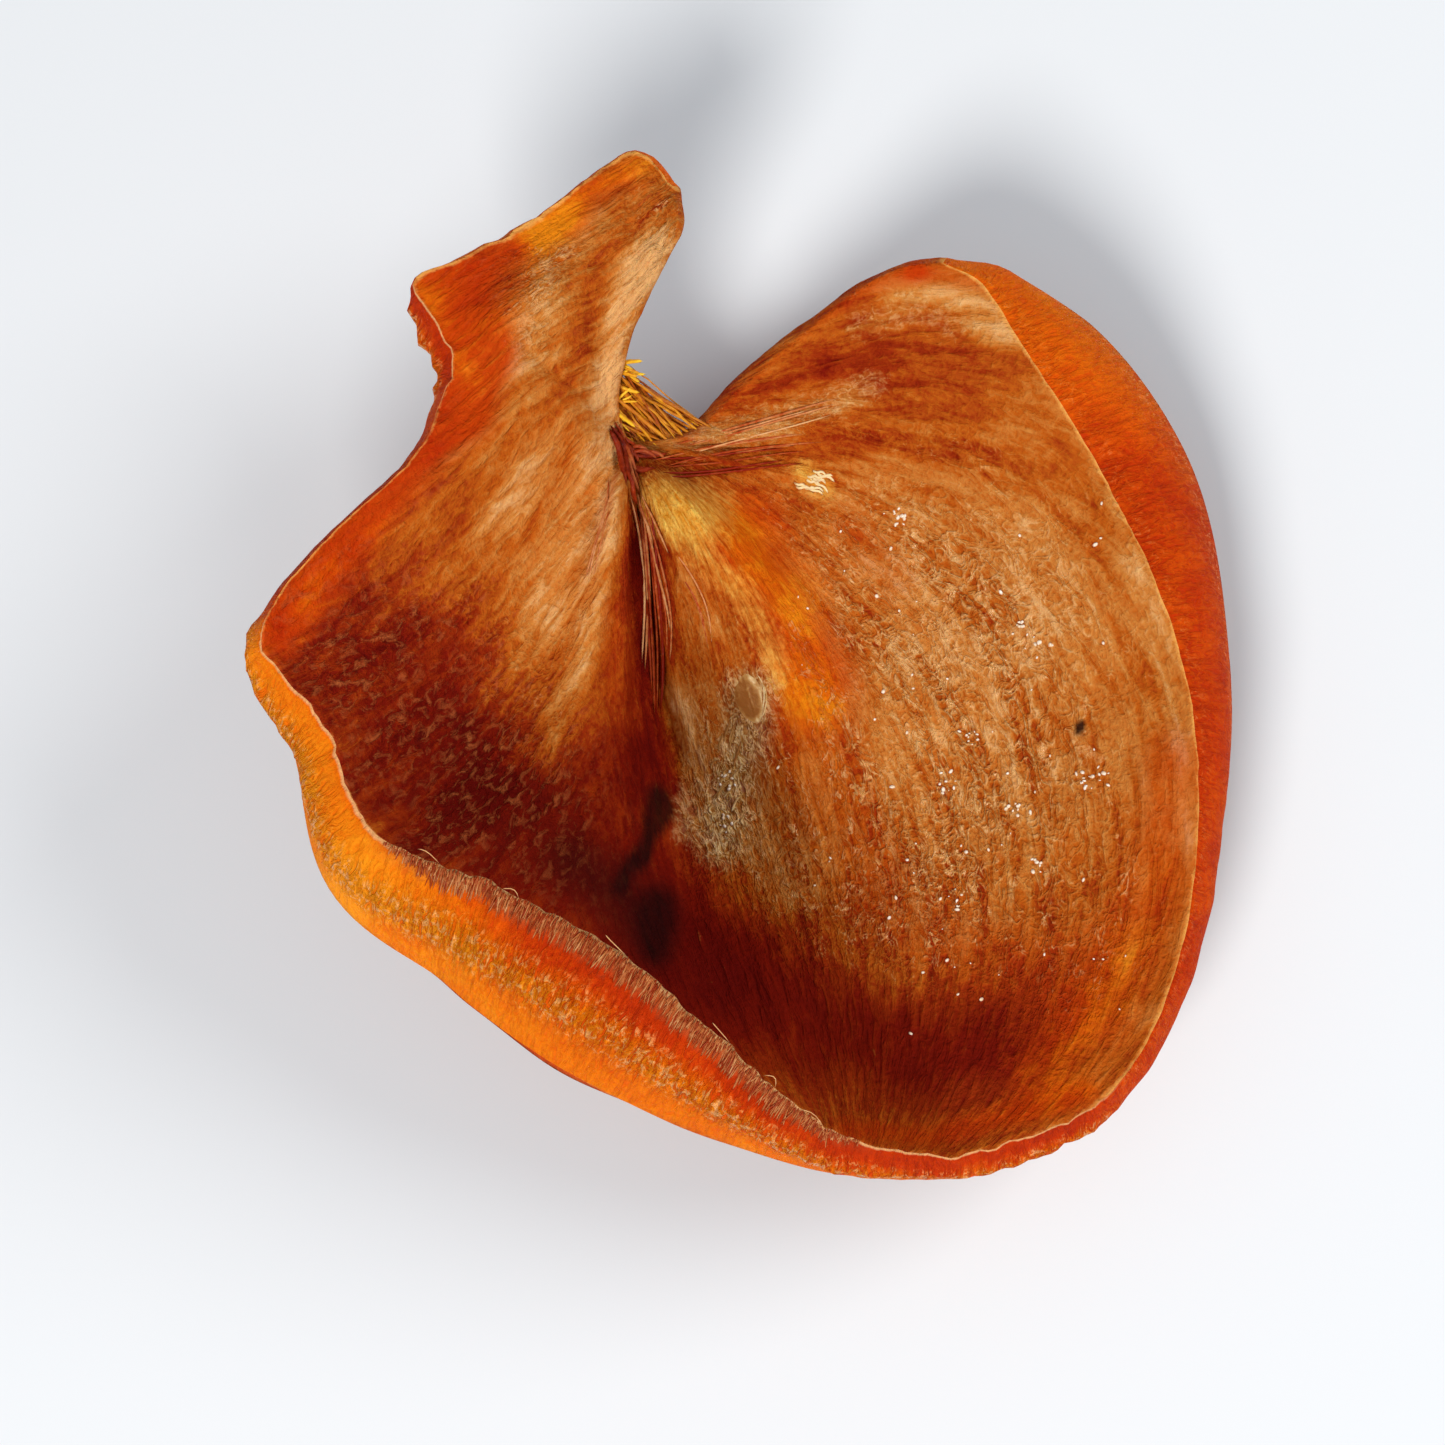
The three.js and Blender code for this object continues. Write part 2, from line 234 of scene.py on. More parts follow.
# The same grid with more columns and rows.
def stretched(grid, rays, steps):
    i = np.linspace(0, grid.shape[0] - 1, rays + 1)
    j = np.linspace(0, grid.shape[1] - 1, steps + 1)
    i0, j0 = np.minimum(i.astype(int), grid.shape[0] - 2), np.minimum(j.astype(int), grid.shape[1] - 2)
    fi, fj = (i - i0)[:, None, None], (j - j0)[None, :, None]
    near = grid[i0][:, j0] * (1 - fj) + grid[i0][:, j0 + 1] * fj
    far = grid[i0 + 1][:, j0] * (1 - fj) + grid[i0 + 1][:, j0 + 1] * fj
    return near * (1 - fi) + far * fi


# Upper face, lower face and skin strip, each as a grid of places.
def sliceSheets(rays, steps, stripRows):
    across, along = np.linspace(0, 1, rays + 1), np.linspace(0, 1, steps + 1)
    plain = plainFace(across, along)
    normals = stretched(eveNormals(), rays, steps)
    x, y = plain[..., 0], plain[..., 1]
    fade = 1 - smooth(0.55, 1, along)
    upper, lifted = plain.copy(), plain.copy()
    upper[..., 2] += folds(foldRows, x, y) * fade + waviness(x, y) * along
    lifted[..., 2] += folds(foldRows, x, y, underside=True) * fade + waviness(x, y) * along

    web = form["notchThickness"] + (form["webThickness"] - form["notchThickness"]) * smooth(0, 0.25, along)
    fromCore = np.hypot(x - form["coreMiddle"][0], y - form["coreMiddle"][1]) / form["coreRadius"]
    thickness = web + form["coreThickening"] * bell(fromCore)
    rim, out = rimAt(across)[:, None], outward(across)[:, None]
    inside = ((rim[..., :2] - lifted[..., :2]) * out).sum(-1)
    nearRim = 1 - smooth(0, form["rimBlend"], np.hypot(inside, rim[..., 2] - lifted[..., 2]))
    nearRim[:, -1] = 1
    foot = np.concatenate([out * rim[..., 3:4], -rim[..., 4:5]], -1)
    below = -normals * thickness[..., None]
    lower = lifted + below + (foot - below) * nearRim[..., None]

    loop = [(0, 0)] + [(rays, j) for j in range(1, steps + 1)]
    loop += [(i, steps) for i in range(rays - 1, -1, -1)] + [(0, j) for j in range(steps - 1, 0, -1)]
    i, j = np.array(loop).T
    top, bottom = upper[i, j], lower[i, j]
    width = bottom - top
    bulge = unit(np.cross(np.roll(top, -1, 0) - np.roll(top, 1, 0), width))
    bulge[0] = 0
    share = np.linspace(0, 1, stripRows + 1)[None, :, None]
    bow = form["skinBulge"] * np.linalg.norm(width, axis=1)[:, None, None] * arch(share)
    strip = top[:, None] + width[:, None] * share + bulge[:, None] * bow
    return {"upper": upper, "lower": lower, "strip": strip, "bulge": bulge, "across": across, "along": along,
            "loop": (i, j)}


roll = np.array(Euler([math.radians(a) for a in form["tilt"]], "ZYX").to_matrix())
cut = sliceSheets(*form["cutGrid"])
rolled = np.concatenate([cut[s].reshape(-1, 3) @ roll.T for s in ("upper", "lower", "strip")])
restOrigin = (rolled.min(0) + rolled.max(0)) / 2
restOrigin[2] = rolled[:, 2].min() + form["pressed"]


# From the drawn frame to metres in the row frame, belly pressed flat on the floor.
def atRest(places):
    laid = places @ roll.T - restOrigin
    laid[..., 2] = np.maximum(laid[..., 2], 0)
    return np.clip(laid * mm, np.array(cadBox[0]), np.array(cadBox[1]))


print("slice laid out, box", ((rolled.min(0) - restOrigin) * mm).round(5),
      ((rolled.max(0) - restOrigin) * mm).round(5))

# How the slice is looked at, from the front and above, in the frame it was drawn in.
looking = {"target": (0, 0, 8), "back": (0, -0.309, 0.951), "up": (0, 0.951, 0.309), "distance": 225}


# Where places are seen, in millimetres to the right of the target and up from it.
def seen(places):
    reach = places - np.array(looking["target"])
    scale = looking["distance"] / (looking["distance"] - reach @ np.array(looking["back"]))
    return reach[..., 0] * scale, (reach @ np.array(looking["up"])) * scale


# 1 on a line through the points, falling away over the width.
def stroke(u, w, points, width):
    nearest = np.full(u.shape, 1e9)
    for (u0, w0), (u1, w1) in zip(points, points[1:]):
        length = max((u1 - u0) ** 2 + (w1 - w0) ** 2, 1e-9)
        t = np.clip(((u - u0) * (u1 - u0) + (w - w0) * (w1 - w0)) / length, 0, 1)
        nearest = np.minimum(nearest, np.hypot(u - u0 - t * (u1 - u0), w - w0 - t * (w1 - w0)))
    return bell(nearest / width)


def noiseAt(points):
    flat = points.reshape(-1, 3)
    return np.array([noise.noise(Vector(p)) for p in flat]).reshape(points.shape[:-1])


# Grain that follows the fibres: in the dish they run like meridians from the calyx to a point beyond
# the far rim, and on the left page they fan out from a point beyond the notch.
grain = {"far": (6.5, -28), "fan": (14, 40), "spread": 11.4, "fanSpread": 40}


def fibreGrain(x, y):
    kx, ky = calyxPoint[:2]
    ax, ay = grain["far"]
    ratio = (np.hypot(x - kx, y - ky) + 0.3) / np.hypot(x - ax, y - ay)
    turn = np.mod(np.arctan2(y - ky, x - kx) - np.arctan2(y - ay, x - ax), 2 * math.pi)
    dish = np.stack([grain["spread"] * np.log(ratio), grain["spread"] * turn, 0 * x], -1)
    fx, fy = grain["fan"]
    fan = np.stack([np.hypot(x - fx, y - fy), grain["fanSpread"] * np.arctan2(x - fx, fy - y), 0 * x], -1)
    return dish, fan


# 1 on the left page, 0 in the dish, soft across the groove.
def onLeftPage(x, y):
    _, way = fromCalyx(x, y)
    return 1 - smooth(-12, 4, way)


# Relief that drying left, in millimetres. Grains are how closely a noise repeats.
weather = {
    "fibre": 0.1,
    "fibreGrain": (0.1, 0.85, 1),
    "lump": 0.14,
    "lumpGrain": 0.32,
    "crinkle": 0.07,
    "crinkleGrain": 1.1,
    "tip": (-3, 26, 20),  # middle of the crumpled tip of the wing, and its reach squared
    "tipWrinkle": 0.75,
    "creaseGrain": (0.4, 1.4, 1),
    "curlWay": (0.55, 0.84),  # away from the side where the skin curled over
    "crest": 0.26,  # raggedness of the flesh edge
    "evenCrest": 0.3,  # share of it that is left at the even right side
    "wingCrest": 0.75,  # how deep the notch side of the wing is torn
    "spur": (-15.6, 20.9, 18.6, 1.5, -0.9, 0.5),  # its tip, how much of the edge is drawn out, and how far
    "crestOut": 0.5,  # how far the curled crest leans out
    "raggedReach": 18,  # how quickly the edge's raggedness and its lean fade inwards
    "leanReach": 8,
    "skinLump": 0.12,
    "skinCrinkle": 0.16,
    "skinGrain": (1.3, 0.5, 1),
    "bandRidge": (0.5, 0.17, 0.3, 0.34),  # where it runs down the curled skin, half width, height, lumps
    "bandGrain": (1.5, 0.55, 1),
}


# Adding a whole number to a noise's places only picks another part of the noise.
def relief(places):
    x, y = places[..., 0], places[..., 1]
    dish, fan = fibreGrain(x, y)
    left = onLeftPage(x, y)
    along, crinkles = weather["fibreGrain"], places * weather["crinkleGrain"]
    ridges = noiseAt(dish * along) * (1 - left) + noiseAt(fan * along + 7) * left
    tipX, tipY, reach = weather["tip"]
    tip = np.exp(-((x - tipX) ** 2 + (y - tipY) ** 2) / reach)
    height = weather["fibre"] * ridges + weather["lump"] * noiseAt(places * weather["lumpGrain"] + 3)
    height += weather["crinkle"] * (noiseAt(crinkles + 11) + 0.6 * noiseAt(crinkles * 2 + 5))
    creased = noiseAt(places * 0.8 + 19) + 0.5 * noiseAt(fan * weather["creaseGrain"] + 23)
    return height + weather["tipWrinkle"] * tip * creased


# The fine sheets with their pleats, relief and ragged crest.
def drySheets():
    rays, steps, stripRows = form["fineGrid"]
    sheets = sliceSheets(rays, steps, stripRows)
    upper, lower, strip = sheets["upper"], sheets["lower"], sheets["strip"]
    along, across = sheets["along"], sheets["across"]
    i, j = sheets["loop"]
    grown = smooth(0.02, 0.12, along)
    pleats = folds(pleatRows, upper[..., 0], upper[..., 1]) * (1 - smooth(0.6, 0.9, along))
    upper = upper + gridNormals(upper) * ((relief(upper) + pleats) * grown)[..., None]
    grown = grown * (1 - smooth(0.88, 1, along))
    lower = lower - gridNormals(lower) * (relief(lower) * grown)[..., None]

    # the crest is ragged where the skin curled over and along the wing, and even at the right
    rim, out = rimAt(across)[:, :3], outward(across)
    curl = smooth(0, 0.55, -out @ np.array(weather["curlWay"]))
    wing = smooth(8, 16, rim[:, 1]) * smooth(4, -4, rim[:, 0])
    ragged = noiseAt(rim * 0.9 + 31) + 0.8 * noiseAt(rim * 2.1 + 43)
    even = weather["evenCrest"]
    ragged = ragged * weather["crest"] * (even + (1 - even) * np.maximum(curl, wing))
    u, w = seen(rim)
    torn = smooth(-7.5, -6, u) * smooth(1, -1, u) * smooth(16, 19, w) * smooth(30, 28, w)
    ragged = ragged - torn * weather["wingCrest"] * np.abs(noiseAt(rim * 1.1 + 53))
    shift = np.concatenate([out * (ragged * 0.7)[:, None], -np.abs(ragged)[:, None]], 1)
    x, y, z, near, drawnX, drawnY = weather["spur"]
    drawn = bell(np.linalg.norm(rim - (x, y, z), axis=1) / near)
    shift[:, :2] += drawn[:, None] * (drawnX, drawnY)
    upper += shift[:, None] * bell((1 - along) * weather["raggedReach"])[None, :, None]
    leaning = weather["crestOut"] * smooth(-19, -12, u) * smooth(9, 2, u) * (w < 2)
    leant = (out * leaning[:, None])[:, None]
    upper[..., :2] += leant * bell((1 - along) * weather["leanReach"])[None, :, None]

    # distance along the crest and down the skin, which its wrinkles follow
    top = strip[:, 0]
    run = np.concatenate([[0], np.cumsum(np.linalg.norm(np.diff(top, axis=0), axis=1))])
    share = np.linspace(0, 1, stripRows + 1)
    width = np.linalg.norm(strip[:, -1] - top, axis=1)
    skinGrain = np.stack(np.broadcast_arrays(run[:, None], share * width[:, None], 0.0), -1)
    curlHere = np.where(j == steps, curl[i], 0)[:, None]
    wrinkle = weather["skinLump"] * noiseAt(strip * 0.4 + 61)
    wrinkle += weather["skinCrinkle"] * (0.25 + curlHere) * noiseAt(skinGrain * weather["skinGrain"] + 71)
    middle, halfWidth, high, lumps = weather["bandRidge"]
    band = bell((share - middle) / halfWidth) * curlHere
    wrinkle += band * (high + lumps * noiseAt(skinGrain * weather["bandGrain"] + 81))
    strip = strip + sheets["bulge"][:, None] * (wrinkle * arch(share))[..., None]
    for edge, row, fade in ((upper, 0, share / 0.4), (lower, -1, (1 - share) / 0.3)):
        strip += (edge[i, j] - strip[:, row])[:, None] * bell(fade)[None, :, None]
    strip[:, 0], strip[:, -1] = upper[i, j], lower[i, j]
    sheets.update(upper=upper, lower=lower, strip=strip, skinGrain=skinGrain, curl=curl)
    return sheets


sheets = drySheets()
toneNames = ("pale", "glow", "amber", "calm", "cream", "husk", "dark", "crisp", "edge", "left", "share",
             "skinTone", "curl", "frayed", "skinSide")
print("slice dried")

# How the upper face dried, as strokes on it as it is seen: strength, half width, places. Some darker strokes
# are partly painted shade and one pale stroke is a painted highlight, marked where they stand.
# pale: 0 maroon to 1 pale tan. glow: clear orange, and amber: how yellow it is. cream: soft flesh at
# the calyx. calm: even and plain. husk: film of a seed's husk. dark: nearly black. crisp: crinkled.
facePaint = {
    "pale": [
        (0.28, 0.9, [(-5.6, 12.6), (-6.1, 9.6), (-6.9, 6), (-8.2, 1.5), (-9.8, -1.8)]),
        (0.3, 1.5, [(-3.2, 25.2), (-5.6, 19.2), (-5.9, 15)]),
        (0.08, 3.4, [(1, 29.9), (-3.2, 24.3), (-8.3, 19.2), (-12.6, 14.1), (-15, 10)]),
        (0.14, 3.2, [(-8.3, 12.4), (-11.8, 7.4)]), (0.12, 1.4, [(-4.4, 12.8), (-9, 10.6), (-13, 7.4)]),
        (0.22, 1.8, [(-9, 5.4), (-10.2, 2.2), (-10.8, -0.6)]), (0.1, 3, [(13, 13), (18, 7.5)]),
        (0.24, 1.8, [(-2.4, 0.6), (-0.6, -4), (2.4, -8.4)]),
        (0.18, 1.4, [(-4.2, 27.6), (-5.4, 24), (-6, 18.4)]), (0.2, 7, [(10.4, 9), (14.6, 3.9), (15, -5)]),
        (0.06, 2.6, [(1.5, 16.4), (6, 17.6)]),
        (0.2, 1, [(15.5, 22.2), (20.2, 15.8), (23.1, 6.5), (24.8, -0.3), (24.8, -6.3)]),
        (-0.3, 5, [(-21.4, 4.9), (-16.7, 3.8), (-12, -0.3)]),
        # darker maroon inside the curled crest at the lower left: partly the flesh's own colour, partly painted
        # shade where the crest overhangs the hollow
        (-0.36, 5.4, [(-16.4, -3.3), (-11.3, -6.3), (-6.6, -9.7), (-3.2, -12.7)]),
        # the darkening strokes on this line and the first on the next run down the groove beside the left page
        # and the valley below it: partly the flesh's own dark red, partly painted shade
        (-0.22, 2.4, [(-4.9, -2), (-4.9, -6.3), (-3.2, -11.4)]), (-0.42, 0.8, [(-5, 12.4), (-4.4, 9.5)]),
        (-0.42, 1.3, [(-4.2, 8.5), (-4, 2.5), (-3.8, -2.9)]), (0.06, 1.4, [(-2.6, 8), (-1, 3), (-1.2, -1)]),
        (0.16, 0.9, [(-2.7, 1.6), (-2.5, -2.4)]),
        # darker maroon inside the lower rim: partly the flesh's own colour, partly painted shade on the rim's
        # inner wall
        (-0.38, 3.8, [(1, -13.9), (5.7, -16.5), (10.4, -18), (14.6, -17)]),
        (-0.24, 0.7, [(-4.3, 13.9), (-1, 14.1), (3, 14.4), (8, 15)]),
        (-0.12, 1, [(8, 15), (13.5, 14.8), (17.5, 12.8)]),
        (0.18, 1.1, [(-2.6, 14.9), (0.6, 15.6), (3.6, 16.6), (6.4, 17.5)]),
        (-0.07, 2.6, [(3, 18.6), (8, 20), (12.6, 18.4)]), (-0.05, 2.2, [(5.4, 19), (9.4, 21)]),
        (-0.08, 2.4, [(11, 13), (13, 11.4)]), (-0.16, 1, [(0.8, 17.1), (3, 18.1), (5.6, 19.6)]),
        (-0.12, 1.8, [(-13.4, 10.4), (-12.6, 9)]), (-0.1, 2.6, [(7, 18), (12, 18)]),
        (-0.2, 0.8, [(-3.6, 28), (-6.4, 24.6), (-7.6, 20.6)]),
        # the first stroke here is a paler streak on the wing, a painted wet highlight
        (0.2, 1.4, [(-6.6, 27.2), (-9.6, 24), (-11.2, 19.4)]), (-0.12, 1.6, [(3.4, 3), (3, -1)]),
        (-0.06, 3.6, [(13, -5), (16.6, -10)]), (0.08, 0.9, [(-9.6, 14.4), (-13.2, 9.8), (-15.8, 6.6)]),
        (-0.16, 0.7, [(-8.2, 13.4), (-11.8, 8), (-14.6, 4)]),
        (0.14, 0.9, [(-7.6, 9.6), (-10.6, 4.8), (-13.2, 0.8)]),
        (0.26, 1.3, [(9.4, 23.2), (12, 23.2), (15, 21.2)]),
    ],
    "glow": [
        (1.1, 1.6, [(-15.6, 23.5), (-14.5, 19.2), (-14.7, 16.3), (-17.7, 12.9), (-21.1, 8.6), (-24.1, 4.8)]),
        (0.9, 1.7, [(-13.6, 22.2), (-12.8, 19.8), (-13.6, 17)]),
        (0.8, 1.2, [(-3.2, 30.7), (-6.6, 29), (-10, 26.5), (-13.4, 24.3)]),
        (0.45, 1.5, [(-8.4, 26.6), (-10.6, 23.8), (-12.2, 19.8)]),
        (0.95, 2.4, [(0.6, 9.4), (3.4, 6.8), (4.8, 2.6)]), (0.5, 1.6, [(-1.5, 11.8), (2.4, 11.4)]),
        (0.35, 1.8, [(7, 10.6), (9.4, 7.6)]), (0.45, 0.8, [(-5.9, 6.4), (-6, 1.5)]),
        (0.6, 2.2, [(24.4, -2), (23.6, -8.4), (21, -14.8), (17.2, -19)]),
        (0.4, 3.4, [(12.2, -11.7), (18.6, -13.5)]),
        (0.6, 0.8, [(-2, 15.6), (0.4, 17.9), (3.4, 20.9), (7, 23.3), (10.4, 24.3)]),
        (0.8, 0.8, [(6.5, -22), (11.2, -22.4), (15.5, -21.2), (19.7, -19.9)]),
        (0.5, 0.7, [(10.4, 24.3), (14.6, 23.5), (16.8, 20.1)]),
        (0.5, 3, [(4.8, -0.3), (6.2, -4.6), (7.8, -8.4)]),
    ],
    "cream": [
        (0.85, 1.5, [(-3.2, 12), (-0.9, 11.2)]),
        (0.45, 0.9, [(-2.8, 10.6), (-1.6, 9.6), (1, 7), (2.4, 4.8), (3, 2.5)]),
        (0.7, 0.7, [(4.4, 13.5), (5.4, 12.7)]),
    ],
    "amber": [
        (0.62, 2.6, [(-0.5, 10.6), (1.6, 8.8), (4, 6), (4.8, 2.2)]),
        (0.4, 3, [(4.8, -0.3), (6.2, -4.6), (7.8, -8.4)]), (0.7, 1.3, [(-2.6, 30.6), (-6, 29.2), (-9.6, 26.8)]),
        (0.55, 1.2, [(-8.2, 26.6), (-9.8, 24), (-10.6, 21.4)]),
        (0.5, 1.6, [(24.6, -3), (23.6, -9.4), (21, -14.8), (17.2, -19)]),
        (0.3, 1.2, [(-15.4, 22.6), (-14.4, 19)]),
    ],
    "calm": [
        (0.7, 4.6, [(0, -14.5), (5, -17.5), (12, -18.5), (17, -16)]), (0.5, 4, [(-9, -7.5), (-4, -11.5)]),
    ],
    "husk": [
        (0.95, 1.5, [(1.5, 1.6), (1, -1.4), (0.4, -4.2), (0, -6.4)]), (0.45, 0.9, [(-1.9, -3.6), (-2.1, -5.6)]),
        (0.4, 1.2, [(-1, 15.2), (3.6, 16.5), (6.4, 17.4), (8, 18.2)]),
        (0.35, 1.2, [(7.5, 21.5), (10, 22.4), (13, 21.4)]),
    ],
    "dark": [
        (1.15, 0.8, [(-3.5, -4), (-3.6, -5)]), (1, 0.55, [(-3.1, -4.8), (-3.9, -6.1), (-4.5, -7.4)]),
        (0.7, 0.4, [(-4.3, -7.2), (-5, -7.7), (-5.6, -8.9)]), (0.75, 1.1, [(-3.3, -9.8), (-3.5, -12.4)]),
        # the first stroke here darkens the hollow just inside the curled crest: partly dark flesh, partly
        # painted shade
        (0.7, 2.2, [(-8, -7.5), (-4.6, -10.5)]), (1.5, 0.26, [(19.3, -0.1), (19.2, -0.5)]),
        (0.6, 0.3, [(-16.2, -0.3), (-16.4, -1.2)]),
    ],
    "crisp": [
        (0.6, 1.8, [(-9.6, 25), (-10.6, 21)]), (0.85, 11, [(11, 3), (11, -7)]),
        (-0.5, 3, [(1, -15), (12, -17.5)]), (0.45, 1.7, [(0.9, 0.2), (0.2, -7.4)]),
        (0.6, 3.5, [(-1.5, 27), (1.5, 24.5)]), (0.34, 4.4, [(-19, 3.6), (-13, -3)]),
        (0.2, 2.4, [(-12, 6), (-8.6, -1), (-6, -5)]), (-0.3, 2, [(0.6, 9.4), (3.4, 6.8)]),
    ],
}
bare = {"pale": 0.56, "crisp": 0.12}
underside = {"pale": 0.52, "crisp": 0.32, "rimGlow": 0.8, "glowWidth": 2.2}
# a pale line along the flesh's crest, partly a paler cut edge and partly a painted highlight; less of it where
# the skin curled over
edgeTone = {"width": 0.3, "curledLess": 0.45}


# Tones of the skin, from the crest down: 0 dark red-orange to 1 yellow-orange.
skinPaint = {
    "crest": 0.12,
    "belly": 0.46,
    "foot": 0.1,
    "leftEnd": 0.74,
    "yellowSpot": (-20, -8.5, 0.2),
    "standing": (0.22, 0.08, 0.3),  # its crest, and what its foot and its top add
}


def skinTones(share, place, curl):
    u, w = seen(place)
    leftEnd = smooth(-8, -17, place[..., 0]) * smooth(8, 2, place[..., 1])
    low = skinPaint["crest"] + skinPaint["belly"] * smooth(0.2, 0.55, share)
    low = low + skinPaint["foot"] * smooth(0.6, 0.9, share)
    low = low + (skinPaint["leftEnd"] - low) * leftEnd * smooth(-0.15, 0.1, share)
    spotU, spotW, paler = skinPaint["yellowSpot"]
    low = low + paler * np.exp(-((u - spotU) ** 2 + (w - spotW) ** 2) / 7)
    crest, foot, top = skinPaint["standing"]
    return low * curl + (crest + foot * share + top * smooth(12, 22, w)) * (1 - curl)


# 1 along the part of the crest that is frayed.
def frayed(place, curl):
    u, w = seen(place)
    return curl * smooth(-19.5, -14.5, u) * smooth(9, 3, u) * (w < 2)


def faceTones(places, isUpper):
    shape = places.shape[:2]
    tones = {name: np.zeros(shape) for name in toneNames}
    for name in bare:
        tones[name] += (bare if isUpper else underside)[name]
    u, w = seen(places)
    fromEdge = np.linalg.norm(places - places[:, -1:], axis=-1)
    if isUpper:
        for name, strokes in facePaint.items():
            for strength, width, points in strokes:
                tones[name] += strength * stroke(u, w, points, width)
    else:
        tones["glow"] += underside["rimGlow"] * bell(fromEdge / underside["glowWidth"])
        tones["share"] += 1
    tones["edge"] += bell(fromEdge / edgeTone["width"]) * (1 - edgeTone["curledLess"] * sheets["curl"])[:, None]
    tones["left"] += onLeftPage(places[..., 0], places[..., 1])
    tones["skinSide"][:, -1] = 1
    return {name: np.clip(tone, 0, 1) for name, tone in tones.items()}


# A grid of faces moved to the places, with its tones and grains.
def addSheet(bm, places, tones, grains=None):
    columns, rows = places.shape[0] - 1, places.shape[1] - 1
    made = bmesh.ops.create_grid(bm, x_segments=columns, y_segments=rows, size=0.5)["verts"]
    layers = [(bm.verts.layers.float[name], grid) for name, grid in tones.items()]
    layers += [(bm.verts.layers.float_vector[name], grid) for name, grid in (grains or {}).items()]
    for v in made:
        i, j = round((v.co.x + 0.5) * columns), round((v.co.y + 0.5) * rows)
        v.co = places[i, j]
        for layer, grid in layers:
            v[layer] = grid[i, j]


def addObject(name, data):
    added = bpy.data.objects.new(name, data)
    bpy.context.scene.collection.objects.link(added)
    return added


def finishPiece(bm, name, materials):
    bmesh.ops.remove_doubles(bm, verts=bm.verts, dist=closeUp)
    bmesh.ops.recalc_face_normals(bm, faces=bm.faces)
    for face in bm.faces:
        face.smooth = True
    gaps = sum(1 for e in bm.edges if len(e.link_faces) != 2)
    mesh = bpy.data.meshes.new(name)
    bm.to_mesh(mesh)
    bm.free()
    for material in materials:
        mesh.materials.append(material)
    piece = addObject(name, mesh)
    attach(piece, "root")
    print(name, "built:", len(mesh.polygons), "faces,", gaps, "open edges")
    return piece


def buildSlice(materials):
    upper, lower = sheets["upper"], sheets["lower"]
    i, j, strip, skinGrain = [np.concatenate([rows, rows[:1]])
                              for rows in (*sheets["loop"], sheets["strip"], sheets["skinGrain"])]
    upperTones, lowerTones = faceTones(upper, True), faceTones(lower, False)
    share = np.linspace(0, 1, strip.shape[1])[None]

    def acrossStrip(values):
        return np.repeat(values[:, None], strip.shape[1], 1)

    tones = {n: upperTones[n][i, j][:, None] * (1 - share) + lowerTones[n][i, j][:, None] * share
             for n in toneNames}
    curl = acrossStrip(sheets["curl"][i])
    tones["share"] = np.repeat(share, len(i), 0)
    tones["skinTone"] = skinTones(tones["share"], strip, curl)
    tones["curl"] = curl
    middle, halfWidth, _, _ = weather["bandRidge"]
    standing = 0.28 + 0.14 * bell(share / 0.2) + 0.2 * bell((1 - share) / 0.3)
    tones["crisp"] = (0.25 + 0.75 * bell((share - middle) / halfWidth)) * curl + standing * (1 - curl)
    tones["frayed"] = acrossStrip(frayed(strip[:, 0], curl[:, 0]))
    tones["skinSide"] = acrossStrip((j == upper.shape[1] - 1).astype(float))
    # the crest and the foot belong to both faces of their edge
    for name in ("share", "skinTone", "curl", "frayed"):
        upperTones[name][i, j], lowerTones[name][i, j] = tones[name][:, 0], tones[name][:, -1]

    bm = bmesh.new()
    for name in toneNames:
        bm.verts.layers.float.new(name)
    for name in ("dishGrain", "fanGrain", "skinGrain"):
        bm.verts.layers.float_vector.new(name)
    for places, painted in ((upper, upperTones), (lower, lowerTones), (strip, tones)):
        dish, fan = fibreGrain(places[..., 0], places[..., 1])
        along = skinGrain
        if places is not strip:
            along = np.zeros_like(places)
            along[i, j] = skinGrain[:, 0 if places is upper else -1]
        addSheet(bm, atRest(places), painted, {"dishGrain": dish, "fanGrain": fan, "skinGrain": along})
    bmesh.ops.remove_doubles(bm, verts=bm.verts, dist=closeUp)
    skinSide = bm.verts.layers.float["skinSide"]
    for face in bm.faces:
        face.material_index = 1 if all(v[skinSide] > 0.5 for v in face.verts) else 0
    piece = finishPiece(bm, "driedSlice", materials)
    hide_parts("persimmon_slice")


# How light goes into a soft thing: how much of it, and how deep in metres.
def scattering(weight, depth):
    return {"Subsurface Weight": weight, "Subsurface Radius": (1, 0.3, 0.1), "Subsurface Scale": depth}


